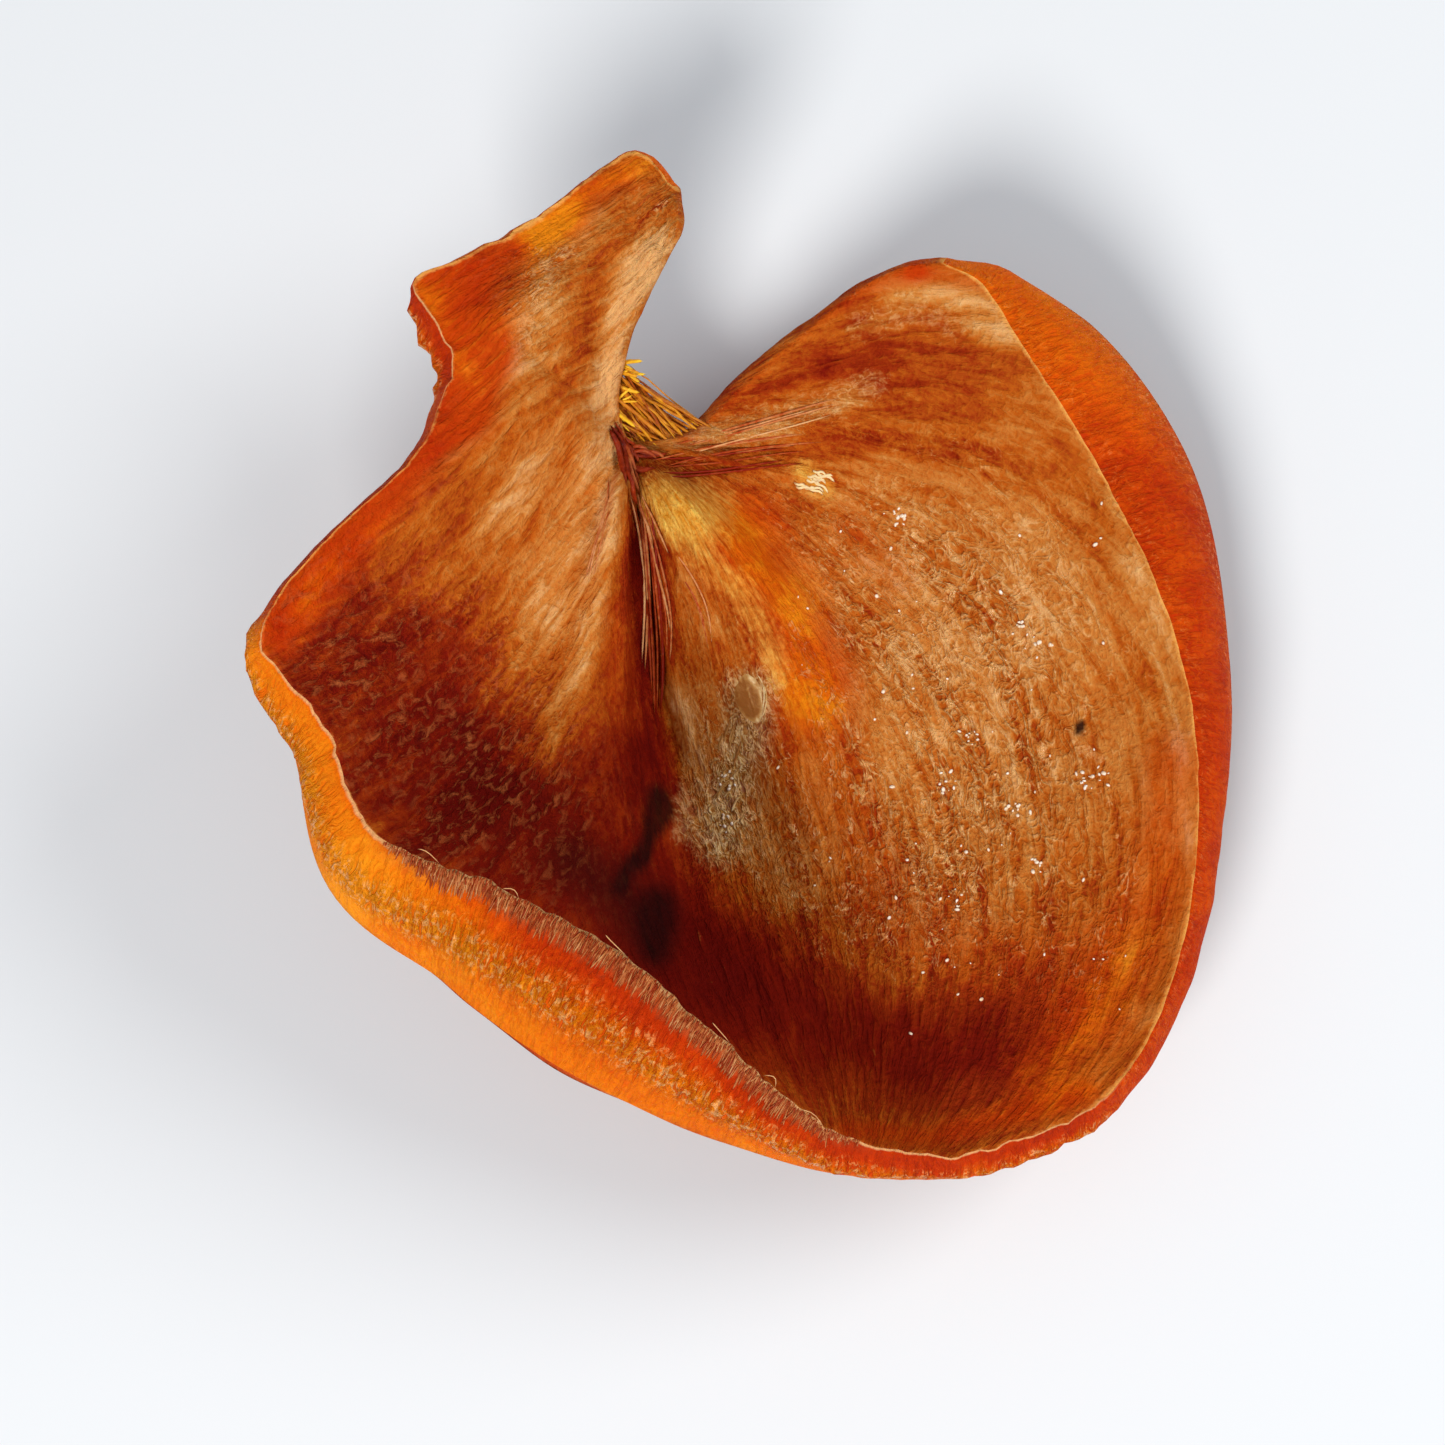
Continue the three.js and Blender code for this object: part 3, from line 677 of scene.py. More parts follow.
# One material and its nodes. Inputs are given as values or as other nodes' sockets.
class shading:
    def __init__(self, name, settings):
        self.material = bpy.data.materials.new(name)
        self.material.use_nodes = True
        self.tree = self.material.node_tree
        self.shader = self.tree.nodes["Principled BSDF"]
        for socket, value in settings.items():
            self.shader.inputs[socket].default_value = value

    def add(self, kind, inputs, **settings):
        node = self.tree.nodes.new("ShaderNode" + kind)
        for name, value in settings.items():
            setattr(node, name, value)
        for name, value in inputs.items():
            if isinstance(value, bpy.types.NodeSocket):
                self.tree.links.new(value, node.inputs[name])
            else:
                node.inputs[name].default_value = value
        return node

    def feed(self, socket, value):
        self.tree.links.new(value, self.shader.inputs[socket])

    def fold(self, operation, values):
        result = values[0]
        for value in values[1:]:
            result = self.add("Math", {0: result, 1: value}, operation=operation).outputs[0]
        return result

    def total(self, *values):
        return self.fold("ADD", values)

    def times(self, *values):
        return self.fold("MULTIPLY", values)

    # a noise turned into a change of plus or minus half the amount
    def around(self, value, amount):
        parts = {0: value, 1: amount, 2: -0.5 * amount}
        return self.add("Math", parts, operation="MULTIPLY_ADD").outputs[0]

    def tone(self, name):
        return self.add("Attribute", {}, attribute_name=name).outputs["Fac"]

    def grain(self, name, scale):
        vector = self.add("Attribute", {}, attribute_name=name).outputs["Vector"]
        return self.add("VectorMath", {0: vector, 1: scale}, operation="MULTIPLY").outputs[0]

    def noise(self, scale, detail=3, rough=0.5, distortion=0, along=None):
        if along is None:
            along = self.add("TexCoord", {}).outputs["Object"]
        return self.add("TexNoise", {"Vector": along, "Scale": scale, "Detail": detail,
                                     "Roughness": rough, "Distortion": distortion}).outputs["Fac"]

    def spread(self, value, low, high, toLow=0, toHigh=1):
        limits = {"Value": value, "From Min": low, "From Max": high, "To Min": toLow, "To Max": toHigh}
        return self.add("MapRange", limits).outputs["Result"]

    # thin bright lines where a noise crosses its middle, like the creases of dried flesh
    def creases(self, field, width):
        off = self.fold("ABSOLUTE", (self.total(field, -0.5), 0))
        return self.spread(off, 0, width, 1, 0)

    def ramp(self, factor, stops):
        node = self.add("ValToRGB", {"Fac": factor})
        elements = node.color_ramp.elements
        while len(elements) < len(stops):
            elements.new(0.5)
        for element, (place, colour) in zip(elements, stops):
            element.position = place
            element.color = (*colour, 1)
        return node.outputs["Color"]

    def blend(self, factor, a, b):
        colours = [c if isinstance(c, bpy.types.NodeSocket) else (*c, 1) for c in (a, b)]
        return self.add("Mix", {0: factor, 6: colours[0], 7: colours[1]}, data_type="RGBA").outputs[2]

    def bump(self, height, strength, depth):
        node = self.add("Bump", {"Height": height, "Strength": strength, "Distance": depth})
        self.feed("Normal", node.outputs["Normal"])


# Values in sets of four are where a noise or tone begins and ends to count, and what it then gives.
flesh = {
    "stops": [(0, (0.13, 0.003, 0.001)), (0.2, (0.2, 0.007, 0.001)), (0.4, (0.33, 0.03, 0.002)),
              (0.6, (0.5, 0.105, 0.006)), (0.8, (0.61, 0.215, 0.038)), (1, (0.77, 0.4, 0.145))],
    "glow": [(0.2, (0.44, 0.018, 0.0003)), (0.6, (0.56, 0.05, 0.0004)), (0.85, (0.72, 0.13, 0.001)),
             (1, (0.84, 0.24, 0.004))],
    "cream": [(0.3, (0.84, 0.33, 0.015)), (0.7, (0.98, 0.62, 0.12))],
    "husk": [(0, (0.28, 0.095, 0.016)), (0.4, (0.5, 0.235, 0.055)), (0.8, (0.84, 0.57, 0.26))],
    "dark": (0.016, 0.002, 0.002),
    "edge": (0.86, 0.4, 0.09),
    # painted highlight colours: glints on the crinkles, and pinkish speckles on the left page
    "glint": (0.95, 0.49, 0.15),
    "speckleHighlight": (0.56, 0.145, 0.038),
    # noises along the fibres: scale, detail, squeeze and bend
    "alongFibres": {"broad": (0.7, 3, 0.12, 0.4), "fine": (2.4, 4, 0.2, 0.7), "ridge": (1.8, 2, 0.5, 1.6),
                    "speckle": (3.2, 3, 0.4, 0.8)},
    # noises with no direction: scale, detail, roughness and distortion
    "anyWay": {"crinkle": (1500, 2, 0.5, 0.9), "fleck": (2400, 3, 0.6, 0.5), "mottle": (240, 3, 0.5, 0.3),
               "glisten": (1300, 1.5, 0.5, 0.6)},
    "creaseWidths": (0.1, 0.13),  # of ridges and crinkles
    "ridgeShare": 0.62,
    "patches": (0.36, 0.62, 1.15, 0.4),  # crisp where the broad noise is low
    "crinklePales": (0.32, 0.5),  # from this much of it, by this much
    "uneven": {"broad": 0.7, "fine": 0.75, "mottle": 0.35, "fleck": 0.35},
    "calmed": 0.35,
    "amber": 0.5,
    "glowUneven": {"fine": 0.6, "fleck": 0.3},
    # how uneven each layer is, and how its tone shows
    "layers": {
        "glow": ({"fine": 0.5, "fleck": 0.3}, (0.2, 0.95, 0, 0.95)),
        "husk": ({"fleck": 0.6, "fine": 0.4}, (0.2, 0.9, 0, 0.9)),
        "cream": ({"fine": 0.7, "fleck": 0.4}, (0.15, 1, 0, 0.9)),
        "dark": ({"fine": 0.5}, (0.22, 1.05, 0, 0.94)),
        "edge": ({"mottle": 1.2, "fleck": 0.8}, (0.5, 1.05, 0, 0.9)),
    },
    # where the painted glints and painted speckle highlights, the wet ridges and the husk's film lie
    "glintOn": {"glisten": (0.54, 0.62), "crinkled": (0.22, 0.5), "dryness": (0.4, 0.62)},
    "speckleHighlightOn": {"speckle": (0.5, 0.68), "crisp": (0.04, 0.34), "dryness": (0.62, 0.4)},
    "wetOn": {"wetRidge": (0.3, 0.8, 0, 0.35), "dryness": (0.3, 0.6)},
    "filmOn": {"husk": (0.3, 0.8, 0, 0.9), "glisten": (0.5, 0.6)},
    "glintBlend": 0.5,
    "speckleHighlightBlend": 0.6,
    "gloss": (0.05, 0.7),  # of the dry flesh, and where it glistens
    "roughness": (0.74, 0.22),
    "heights": {"fine": 1, "fleck": 0.5, "crinkled": 0.5, "speckleHighlight": 0.35},
    "bumpDepth": 0.0004,  # metres
}


def fleshMaterial():
    kit = shading("driedFlesh", scattering(0.1, 0.001))
    left = kit.tone("left")
    parts = {name: kit.noise(*values) for name, values in flesh["anyWay"].items()}
    for name, (scale, detail, squeeze, bend) in flesh["alongFibres"].items():
        dish, fan = [kit.noise(scale, detail, 0.6, bend, kit.grain(grain, (squeeze, 1, 1)))
                     for grain in ("dishGrain", "fanGrain")]
        parts[name] = kit.add("Mix", {0: left, 2: dish, 3: fan}).outputs[0]

    def uneven(amounts):
        return [kit.around(parts[name], amount) for name, amount in amounts.items()]

    def within(limits):
        return kit.times(*[kit.spread(parts[name], *values) for name, values in limits.items()])

    ridges, crinkle = [kit.creases(parts[name], width)
                       for name, width in zip(("ridge", "crinkle"), flesh["creaseWidths"])]
    crinkle = kit.total(kit.times(ridges, flesh["ridgeShare"]), kit.times(crinkle, 1 - flesh["ridgeShare"]))
    crisp = kit.times(kit.tone("crisp"), kit.spread(parts["broad"], *flesh["patches"]))
    parts.update(crisp=crisp, crinkled=kit.times(crinkle, crisp), wetRidge=kit.times(ridges, crisp))
    # crinkle ridges made paler: partly paler dried tops, partly painted highlights on them
    least, amount = flesh["crinklePales"]
    paler = kit.times(kit.total(crinkle, -least), crisp, amount)
    dryness = kit.times(kit.total(*uneven(flesh["uneven"]), paler),
                        kit.spread(kit.tone("calm"), 0, 1, 1, flesh["calmed"]))
    parts["dryness"] = kit.total(kit.tone("pale"), dryness)
    colour = kit.ramp(parts["dryness"], flesh["stops"])

    amber = kit.times(kit.tone("amber"), flesh["amber"])
    warm = kit.total(parts["mottle"], amber, *uneven(flesh["glowUneven"]))
    tints = {
        "glow": kit.ramp(warm, flesh["glow"]),
        # the husk's film is paler along the crinkles: painted highlights on its wet film
        "husk": kit.ramp(kit.total(kit.around(parts["fine"], 0.6), crinkle), flesh["husk"]),
        "cream": kit.ramp(kit.total(parts["fine"], kit.around(parts["fleck"], 0.5)), flesh["cream"]),
        "dark": flesh["dark"],
    }

    def layered(name, tint):
        amounts, shows = flesh["layers"][name]
        parts[name] = kit.total(kit.tone(name), *uneven(amounts))
        return kit.blend(kit.spread(parts[name], *shows), colour, tint)

    for name, tint in tints.items():
        colour = layered(name, tint)
    # painted highlights: where the crinkles glisten, the glint colour is mixed into the base colour; the same
    # places are made glossy below
    glint = within(flesh["glintOn"])
    colour = kit.blend(kit.times(glint, flesh["glintBlend"]), colour, flesh["glint"])
    # painted highlights: pinkish-tan speckles where small bumps on the left page catch the light, mixed into
    # the base colour and raised a little in the bump
    parts["speckleHighlight"] = kit.times(within(flesh["speckleHighlightOn"]), left)
    colour = kit.blend(kit.times(parts["speckleHighlight"], flesh["speckleHighlightBlend"]), colour, flesh["speckleHighlight"])
    # the pale crest line, partly painted highlight, goes on last
    kit.feed("Base Color", layered("edge", flesh["edge"]))

    wet = kit.total(glint, within(flesh["filmOn"]), within(flesh["wetOn"]))
    kit.feed("Specular IOR Level", kit.spread(wet, 0, 1, *flesh["gloss"]))
    kit.feed("Roughness", kit.spread(wet, 0, 1, *flesh["roughness"]))
    height = kit.total(*[kit.times(parts[name], amount) for name, amount in flesh["heights"].items()])
    kit.bump(height, 1, flesh["bumpDepth"])
    return kit.material


skin = {
    "stops": [(0, (0.34, 0.014, 0.0003)), (0.25, (0.54, 0.034, 0.0002)), (0.5, (0.72, 0.09, 0.0005)),
              (0.75, (0.84, 0.17, 0.0012)), (1, (0.92, 0.28, 0.006))],
    "fringe": [(0.3, (0.36, 0.05, 0.008)), (0.7, (0.58, 0.22, 0.065))],
    # painted highlight colour of the glistening crinkles on the curled skin
    "sparkle": (1, 0.43, 0.11),
    "bead": (0.8, 0.42, 0.17),
    # scale, detail, roughness and distortion
    "crossNoise": (1, 4, 0.6, 0.9),
    "fleckNoise": (2400, 3, 0.6, 0.5),
    "mottleNoise": (300, 4, 0.55, 0.4),
    "squeeze": (3, 0.9, 1),  # of the crossing creases, along the crest and down the skin
    "creaseWidth": 0.15,
    "mottled": 0.45,
    "flecked": 0.3,
    "crinkleWarms": 0.5,
    "crispCools": -0.12,
    "sparkleOn": ((0.5, 0.62), (0.3, 0.66)),  # of the flecks and the crinkles
    "sparkleBlend": 0.75,
    # shares of the way down the skin where each begins and ends to fade, and how it shows
    "fringeSpan": (0.04, 0.18, 0.9, 0),
    "beadSpan": (0.02, 0.045, 0.85, 0),
    "fringeUneven": (0.3, 0.12),
    "beadUneven": (0.04, 0.04),
    "gloss": (0.05, 0.45),
    "roughness": (0.7, 0.24),
    "heights": (0.65, 0.5, 1),  # of crinkles, flecks and mottling
    "bumpDepth": 0.0003,  # metres
}


def skinMaterial():
    kit = shading("driedSkin", scattering(0.08, 0.001))
    crossing = kit.noise(*skin["crossNoise"], kit.grain("skinGrain", skin["squeeze"]))
    fleck, mottle = kit.noise(*skin["fleckNoise"]), kit.noise(*skin["mottleNoise"])
    crisp = kit.tone("crisp")
    crinkled = kit.times(kit.creases(crossing, skin["creaseWidth"]), crisp)
    warmth = kit.total(kit.tone("skinTone"), kit.around(mottle, skin["mottled"]),
                       kit.around(fleck, skin["flecked"]), kit.times(crinkled, skin["crinkleWarms"]),
                       kit.times(crisp, skin["crispCools"]))
    colour = kit.ramp(warmth, skin["stops"])
    # painted highlights: the sparkle colour is mixed into the base colour where flecks meet the crinkles; the
    # same places are made glossy below
    sparkle = kit.times(*[kit.spread(part, *limits)
                          for part, limits in zip((fleck, crinkled), skin["sparkleOn"])])
    colour = kit.blend(kit.times(sparkle, skin["sparkleBlend"]), colour, skin["sparkle"])
    frayedColour = kit.ramp(kit.total(crossing, kit.around(fleck, 0.5)), skin["fringe"])
    for name, where, tint in (("fringe", "frayed", frayedColour), ("bead", "curl", skin["bead"])):
        uneven = [kit.around(part, by) for part, by in zip((crossing, fleck), skin[name + "Uneven"])]
        amount = kit.spread(kit.total(kit.tone("share"), *uneven), *skin[name + "Span"])
        colour = kit.blend(kit.times(amount, kit.tone(where)), colour, tint)
    kit.feed("Base Color", colour)
    kit.feed("Specular IOR Level", kit.spread(sparkle, 0, 0.8, *skin["gloss"]))
    kit.feed("Roughness", kit.spread(sparkle, 0, 0.8, *skin["roughness"]))
    height = kit.total(*[kit.times(part, by) for part, by in zip((crinkled, fleck, mottle), skin["heights"])])
    kit.bump(height, 1, skin["bumpDepth"])
    return kit.material


buildSlice([fleshMaterial(), skinMaterial()])

upperU, upperW = seen(sheets["upper"])
upperNormals = gridNormals(sheets["upper"])
upperDepth = sheets["upper"] @ np.array(looking["back"])


# Place and normal of the upper face where it is seen at (u, w), weighed over the nearest of it.
def surfaceAt(u, w):
    gap = np.hypot(upperU - u, upperW - w)
    close = gap < max(0.45, gap.min() * 1.3)
    weight = close * (upperDepth > upperDepth[close].max() - 0.8) / (gap ** 2 + 0.01)
    weight = weight[..., None] / weight.sum()
    return (sheets["upper"] * weight).sum((0, 1)), unit((upperNormals * weight).sum((0, 1)))


# A thin closed strand along the path, as a grid of places.
def strandGrid(path, radii, sides, flat=1):
    run = unit(np.gradient(path, axis=0))
    side = unit(np.cross(run, (0.31, 0.2, 0.93)))
    turn = np.linspace(0, 2 * math.pi, sides + 1)[None, :, None]
    ring = side[:, None] * np.cos(turn) + np.cross(run, side)[:, None] * np.sin(turn) * flat
    return path[:, None] + ring * radii[:, None, None]


# Strands as (path, thickness, hue) made into one piece, tapered at both ends.
def buildStrands(name, strands, sides, material):
    bm = bmesh.new()
    bm.verts.layers.float.new("hue")
    bm.verts.layers.float.new("part")
    for path, radius, hue in strands:
        steps = len(path)
        part = np.linspace(0, 1, steps)
        radii = radius * np.sqrt(np.clip(1 - np.abs(2 * part - 1) ** 3, 0, 1))
        radii[0] = radii[-1] = 0
        places = atRest(strandGrid(path, radii, sides))
        tones = {"hue": np.full(places.shape[:2], hue), "part": np.repeat(part[:, None], sides + 1, 1)}
        addSheet(bm, places, tones)
    finishPiece(bm, name, [material])


# Strands laid over the face from rows of hue, count, stray, radius, lift and places where they are seen.
def strandsOver(rows, detail, seed):
    draw = np.random.default_rng(seed)
    strands = []
    for hue, count, stray, radius, lift, points in rows:
        course = pacedCurve([(u, w, 0) for u, w in points])
        for _ in range(count):
            shares = np.linspace(draw.uniform(0, 0.15), draw.uniform(0.7, 1), detail)
            wobble = np.cumsum(draw.normal(0, radius * 0.5, (detail, 2)), 0)
            path = course(shares)[:, :2] + draw.normal(0, stray, 2) + wobble
            raised = lift * (0.5 + draw.random()) * arch(np.linspace(0.08, 0.92, detail))
            raised = raised + radius * 0.3 * draw.normal(0, 1, detail)
            laid = [surfaceAt(u, w) for u, w in path]
            path = np.array([place + normal * up for (place, normal), up in zip(laid, raised)])
            for _ in range(3):
                path[1:-1] = (path[:-2] + 2 * path[1:-1] + path[2:]) / 4
            strands.append((path, radius * draw.uniform(0.7, 1.3), np.clip(hue + draw.normal(0, 0.12), 0, 1)))
    return strands


strandLook = {
    "roughness": 0.42,
    "speckle": (2200, 3, 0.6, 0.4),
    "speckled": 0.9,
    "alongIt": 0.2,
    "bump": (0.8, 0.00012),  # strength and depth in metres
}


# A fibre's colour runs over its hue and speckles along it.
def strandMaterial(name, stops, gloss):
    kit = shading(name, {"Roughness": strandLook["roughness"], "Specular IOR Level": gloss,
                         **scattering(0.1, 0.0006)})
    speckle = kit.noise(*strandLook["speckle"])
    hue = kit.total(kit.tone("hue"), kit.around(speckle, strandLook["speckled"]),
                    kit.around(kit.tone("part"), strandLook["alongIt"]))
    kit.feed("Base Color", kit.ramp(hue, stops))
    kit.bump(speckle, *strandLook["bump"])
    return kit.material


fibres = {
    "rows": [
        (0.65, 3, 0.12, 0.08, 0.06, [(-4.6, 12.9), (-4.2, 9.5), (-4, 6.1), (-4.2, 2)]),
        (0.55, 3, 0.14, 0.075, 0.06, [(-4.5, 12.6), (-3.5, 8.6), (-2.7, 5.2), (-2.9, 2)]),
        (0.8, 2, 0.08, 0.08, 0.08, [(-4.5, 12.6), (-3.8, 10.4), (-3.2, 8.6)]),
        (0.25, 7, 0.3, 0.085, 0.04, [(-4.4, 12.4), (-3.8, 8), (-3.5, 3), (-3.6, -1.5)]),
        (0.25, 4, 0.3, 0.06, 0.04, [(-4.4, 13.7), (-1.4, 13.8), (2.4, 14.3), (5.6, 14.7)]),
        (0.35, 4, 0.3, 0.055, 0.04, [(-4, 13.6), (-0.6, 14.4), (3.4, 15), (6.4, 15.3)]),
        (0.7, 4, 0.24, 0.055, 0.03, [(-3.4, 14.4), (0.2, 15.4), (4.2, 16.5), (7, 17.3)]),
        (0.55, 3, 0.16, 0.055, 0.03, [(-6, 13.4), (-6.6, 10.4), (-7.6, 6)]),
        (0.5, 3, 0.16, 0.05, 0.02, [(-3, 9.6), (-1.2, 6.6), (-0.6, 3.2)]),
    ],
    "detail": 12,
    "stops": [(0.1, (0.24, 0.012, 0.002)), (0.4, (0.42, 0.06, 0.008)), (0.65, (0.6, 0.2, 0.06)),
              (0.95, (0.8, 0.42, 0.18))],
}
buildStrands("fibreStrands", strandsOver(fibres["rows"], fibres["detail"], 3), 5,
             strandMaterial("pulledFibre", fibres["stops"], 0.12))

# The twisted ends of the fibres at the calyx point.
knot = {
    "rows": [
        (0.3, 5, 0.26, 0.17, 0.2, [(-5.9, 16.3), (-5.5, 15.2), (-5, 14), (-4.6, 12.8)]),
        (0.2, 5, 0.26, 0.14, 0.24, [(-5.5, 14.6), (-4.7, 14), (-3.8, 13.9), (-2.9, 14.1)]),
        (0.35, 6, 0.3, 0.11, 0.34, [(-5.3, 15.4), (-5.4, 14.6), (-4.7, 14.5), (-4.9, 13.7)]),
        (0.5, 3, 0.2, 0.13, 0.3, [(-5.4, 15), (-4.9, 13.6), (-4.4, 12.2)]),
        (0.6, 3, 0.16, 0.1, 0.3, [(-4.9, 14.4), (-4, 14.6), (-3, 14)]),
    ],
    "detail": 9,
    "stops": [(0.1, (0.12, 0.005, 0.001)), (0.5, (0.3, 0.03, 0.005)), (0.9, (0.54, 0.16, 0.045))],
}
buildStrands("calyxKnot", strandsOver(knot["rows"], knot["detail"], 5), 6,
             strandMaterial("knottedFibre", knot["stops"], 0.12))

# Fibres torn from the calyx, some spiky and some drawn across the corner of the notch like a web.
tuft = {
    "webFibres": 150,
    "spikes": 30,
    "radius": 0.075,
    "wingReach": 0.34,  # share of the notch side that they hold on to
    "shoulderReach": 0.27,
    "sag": 1.1,
    "inward": (0, -0.25, -0.5),
    "stray": (0.16, 0.12, 0.05),  # of the ends of a web fibre, and along it
    "points": 9,
    "stops": [(0.1, (0.36, 0.07, 0.004)), (0.4, (0.6, 0.2, 0.008)), (0.75, (0.84, 0.38, 0.012)),
              (1, (0.96, 0.58, 0.03))],
}


def tuftStrands():
    draw = np.random.default_rng(11)
    strands = []
    inward = np.array(tuft["inward"])
    atWing, atShoulder, alongIt = tuft["stray"]
    t = np.linspace(0, 1, tuft["points"])[:, None]

    def onWing(share):
        return wingSideAt(np.array([share * tuft["wingReach"]]))[0]

    for n in range(tuft["webFibres"]):
        share = (n + draw.random()) / tuft["webFibres"]
        start = onWing(share) + inward + draw.normal(0, atWing, 3)
        end = shoulderSideAt(np.array([share * tuft["shoulderReach"] * draw.uniform(0.35, 1)]))[0]
        end = end + inward + draw.normal(0, atShoulder, 3)
        dip = arch(t) * (0, 0.2, -tuft["sag"] * share * draw.uniform(0.6, 1.2))
        path = start + (end - start) * t + dip + np.cumsum(draw.normal(0, alongIt, (tuft["points"], 3)), 0)
        strands.append((path, tuft["radius"] * draw.uniform(0.6, 1.6), 0.1 + 0.45 * draw.random()))
    for _ in range(tuft["spikes"]):
        start = onWing(draw.uniform(0.35, 1)) + (-0.1, -0.1, -0.35)
        way = np.array((0.8, draw.uniform(-0.9, 0.6), draw.uniform(-0.8, 0.5))) * draw.uniform(0.8, 2)
        bend = arch(t / 2) * (0, draw.uniform(-0.5, 0.3), draw.uniform(-0.4, 0.5))
        strands.append((start + way * t + bend, tuft["radius"] * draw.uniform(0.7, 1.6), draw.uniform(0.6, 1)))
    return strands


buildStrands("calyxTuft", tuftStrands(), 5, strandMaterial("tuftFibre", tuft["stops"], 0.2))

# Short hairs across the crest where the skin curled over, and a few loose ones.
fringe = {
    "count": 1300,
    "loose": 6,
    "radius": 0.036,
    "looseRadius": 0.03,
    "length": (0.3, 1.6),
    "start": (-0.08, 0.12),  # how far down the skin they begin
    "slant": 0.14,
    "stray": 0.3,
    "points": 6,
    "stops": [(0.1, (0.3, 0.03, 0.004)), (0.5, (0.5, 0.15, 0.04)), (0.9, (0.74, 0.38, 0.16))],
}


def fringeStrands():
    draw = np.random.default_rng(17)
    strip, (i, j) = sheets["strip"], sheets["loop"]
    share = np.where(j == form["fineGrid"][1], frayed(strip[:, 0], sheets["curl"][i]), 0)
    places = np.where(share > 0.1)[0]
    t = np.linspace(0, 1, fringe["points"])[:, None]
    shortest, longest = fringe["length"]
    strands = []
    for n in range(fringe["count"] + fringe["loose"]):
        k = places[draw.integers(1, len(places) - 1)]
        along = unit(strip[k + 1, 0] - strip[k - 1, 0])
        if n >= fringe["count"]:
            way = along * draw.uniform(0.7, 1.6) + (0, 0, draw.uniform(0.2, 0.7))
            bend = arch(t) * (draw.uniform(-0.3, 0.3), 0.2, 0.15)
            strands.append((strip[k, 0] + way * t + bend, fringe["looseRadius"], 0.9))
            continue
        length = (shortest + (longest - shortest) * draw.random() ** 1.6) * share[k]
        start, way = draw.uniform(*fringe["start"]), along * draw.normal(0, fringe["slant"])
        run = (start + length * t) / np.linalg.norm(strip[k, 2] - strip[k, 0]) * 2
        row = np.clip(run[:, 0].astype(int), 0, 4)
        path = strip[k, row] + (strip[k, row + 1] - strip[k, row]) * (run - row[:, None]) + way * length * t
        path = path + along * draw.uniform(-fringe["stray"], fringe["stray"])
        path = path + sheets["bulge"][k] * (0.015 + draw.uniform(0, 0.07) * arch(t))
        strands.append((path, fringe["radius"] * draw.uniform(0.7, 1.4), draw.uniform(0, 0.65)))
    return strands


buildStrands("crestFringe", fringeStrands(), 4, strandMaterial("fringeHair", fringe["stops"], 0.12))

# What is left of a seed's husk in the hollow of its cell: a papery blister and shreds below it.
husk = {
    "middle": (1.5, 1.3),
    "size": (0.95, 1.45, 0.13),  # half width, half length and height
    "upright": (0.1, 1, 0),
    "streaks": (5, 1.2, 3),  # how close together across and along it, and a place in the noise
    "rim": (0.64, 0.92, 0.55),  # where its paler rim begins and is full, and how pale
    "rows": [
        (0.75, 2, 0.04, 0.045, 0.04, [(1.7, 2.7), (2.2, 2.3), (2.4, 1.4), (2.2, 0.4), (1.8, -0.1)]),
        (0.35, 6, 0.4, 0.06, 0, [(0.8, -0.2), (0.6, -1), (0.5, -1.8)]),
        (0.45, 8, 0.45, 0.06, 0, [(0.5, -2.7), (0.2, -3), (0.5, -3.3)]),
        (0.45, 5, 0.4, 0.06, 0, [(0.6, -3.6), (0.2, -3.9), (-0.1, -4.5)]),
        (0.5, 8, 0.45, 0.06, 0, [(0.3, -5), (0, -5.3), (0.3, -5.7)]),
        (0.9, 16, 0.3, 0.09, 0.02, [(4.4, 13.5), (4.8, 13), (5.1, 13.3), (5.5, 12.6)]),
    ],
    "detail": 8,
    "stops": [(0.1, (0.3, 0.105, 0.02)), (0.5, (0.5, 0.25, 0.07)), (0.9, (0.9, 0.68, 0.36))],
}
paperyHusk = strandMaterial("paperyHusk", husk["stops"], 0.12)
buildStrands("huskShreds", strandsOver(husk["rows"], husk["detail"], 23), 5, paperyHusk)


def buildBlister():
    place, normal = surfaceAt(*husk["middle"])
    bm = bmesh.new()
    bmesh.ops.create_uvsphere(bm, u_segments=36, v_segments=18, radius=1)
    hue = bm.verts.layers.float.new("hue")
    upright = unit(np.cross(np.cross(normal, husk["upright"]), normal))
    axes = np.stack([np.cross(upright, normal), upright, normal], 1)
    across, along, part = husk["streaks"]
    begins, full, paler = husk["rim"]
    for v in bm.verts:
        x, y, z = v.co
        streak = noise.noise(Vector((x * across, y * along, part)))
        v[hue] = 0.18 + 0.4 * streak + paler * smooth(begins, full, math.hypot(x, y) + 0.2 * x)
        spot = np.array((x, y, z)) * husk["size"] * (1, 1, 1 + 0.5 * streak)
        v.co = atRest((place + axes @ spot)[None])[0]
    finishPiece(bm, "seedHusk", [paperyHusk])


buildBlister()

# Sugar specks, most of them in small clusters where the flesh glints: their near-white colour is partly the
# real sugary bloom and partly painted highlights.
sugarGlints = {
    "clusters": [(16.1, 5.4), (16.9, 4.1), (13.4, -0.8), (19.3, -3.2), (20.4, -3), (12.5, -9.6), (16.9, -7.5),
                 (12.1, -3.3), (15.9, -4.7), (9.5, 10.9), (0.3, -3.1), (0.1, -5.4)],
    "inCluster": 9,
    "strewn": 60,
    "stray": 0.28,
    "strewnOver": ((3, 22), (-17, 12)),
    "radius": (0.06, 0.2),
    "squash": (1, 0.7, 0.5),
    "sunk": 0.02,
    "stops": [(0.3, (0.82, 0.6, 0.36)), (0.7, (0.95, 0.9, 0.8))],
    "noiseScale": 3000,
    "roughness": 0.25,
    "gloss": 0.7,
}


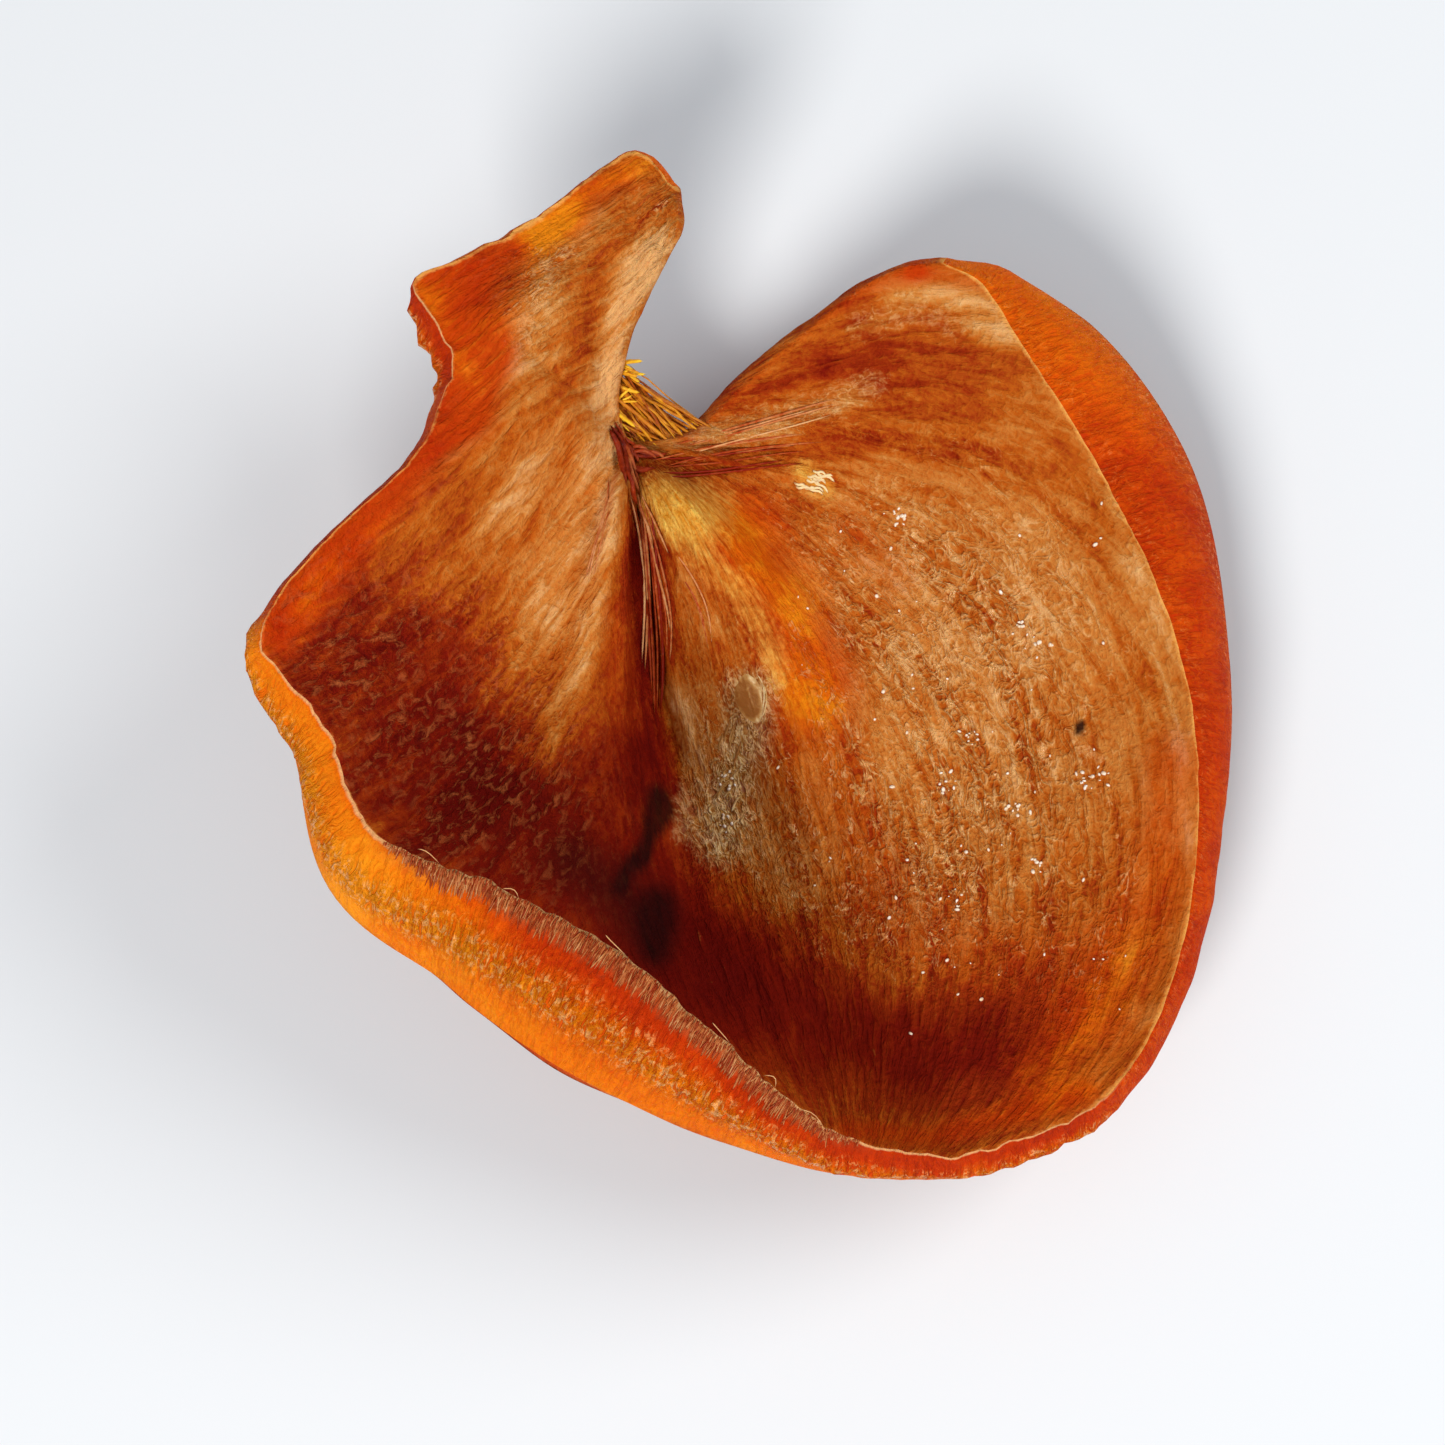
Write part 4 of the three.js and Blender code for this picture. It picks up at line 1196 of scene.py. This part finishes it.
def buildSugarGlints():
    draw = np.random.default_rng(29)
    spots = [np.array(c) + draw.normal(0, sugarGlints["stray"], 2)
             for c in sugarGlints["clusters"] for _ in range(sugarGlints["inCluster"])]
    spots += [[draw.uniform(*limits) for limits in sugarGlints["strewnOver"]] for _ in range(sugarGlints["strewn"])]
    bm = bmesh.new()
    for u, w in spots:
        place, normal = surfaceAt(u, w)
        size = draw.uniform(*sugarGlints["radius"]) * mm
        turn = Euler([draw.uniform(0, 6.28) for _ in range(3)]).to_matrix().to_4x4()
        centre = Matrix.Translation(atRest((place + normal * sugarGlints["sunk"])[None])[0])
        shape = centre @ turn @ Matrix.Diagonal((*sugarGlints["squash"], 1))
        bmesh.ops.create_icosphere(bm, subdivisions=1, radius=size, matrix=shape)
    kit = shading("sugarGlintCrystal", {"Roughness": sugarGlints["roughness"], "Specular IOR Level": sugarGlints["gloss"]})
    # near-white colour: partly real sugary bloom, partly painted highlight
    kit.feed("Base Color", kit.ramp(kit.noise(sugarGlints["noiseScale"]), sugarGlints["stops"]))
    finishPiece(bm, "sugarGlintGrains", [kit.material])


buildSugarGlints()

studio = {
    "floorHalf": 2,
    "floorColour": (0.80, 0.83, 0.86),
    "floorRoughness": 0.8,
    "skyColour": (0.86, 0.91, 1),
    "skyStrength": 0.32,
    "lights": [  # name, place, size, watts, colour
        ("keySoftbox", (-0.18, -0.5, 0.52), 0.3, 4.4, (1, 0.97, 0.93)),
        ("sideSoftbox", (0.5, 0.12, 0.42), 0.4, 2.3, (1, 0.98, 0.95)),
    ],
    "lens": 104,
}


def buildStudio():
    bm = bmesh.new()
    bmesh.ops.create_grid(bm, x_segments=8, y_segments=8, size=studio["floorHalf"])
    mesh = bpy.data.meshes.new("studioFloor")
    bm.to_mesh(mesh)
    bm.free()
    floor = addObject("studioFloor", mesh)
    look = {"Base Color": (*studio["floorColour"], 1), "Roughness": studio["floorRoughness"]}
    mesh.materials.append(shading("paleFloor", look).material)

    world = bpy.data.worlds.new("studioSky")
    world.use_nodes = True
    background = world.node_tree.nodes["Background"]
    background.inputs["Color"].default_value = (*studio["skyColour"], 1)
    background.inputs["Strength"].default_value = studio["skyStrength"]
    bpy.context.scene.world = world

    for name, place, size, watts, colour in studio["lights"]:
        light = bpy.data.lights.new(name, "AREA")
        light.shape, light.size, light.energy, light.color = "DISK", size, watts, colour
        holder = addObject(name, light)
        holder.location = place
        holder.rotation_euler = (Vector((0, 0, 0.01)) - Vector(place)).to_track_quat("-Z", "Y").to_euler()

    # the camera looks at the slice as it was drawn, so it is turned by the same roll
    turn = Matrix(roll.tolist())
    back, up = turn @ Vector(looking["back"]), turn @ Vector(looking["up"])
    right = up.cross(back).normalized()
    target = Vector((roll @ np.array(looking["target"]) - restOrigin) * mm)
    camera = bpy.data.cameras.new("viewCamera")
    camera.lens, camera.sensor_width = studio["lens"], 36
    camera.clip_start, camera.clip_end = 0.01, 20
    holder = addObject("viewCamera", camera)
    axes = Matrix((right, back.cross(right).normalized(), back.normalized())).transposed()
    stand = target + back.normalized() * looking["distance"] * mm
    holder.matrix_world = Matrix.Translation(stand) @ axes.to_4x4()
    bpy.context.scene.camera = holder


buildStudio()
bpy.context.scene.view_settings.view_transform = "Standard"
print("studio ready")
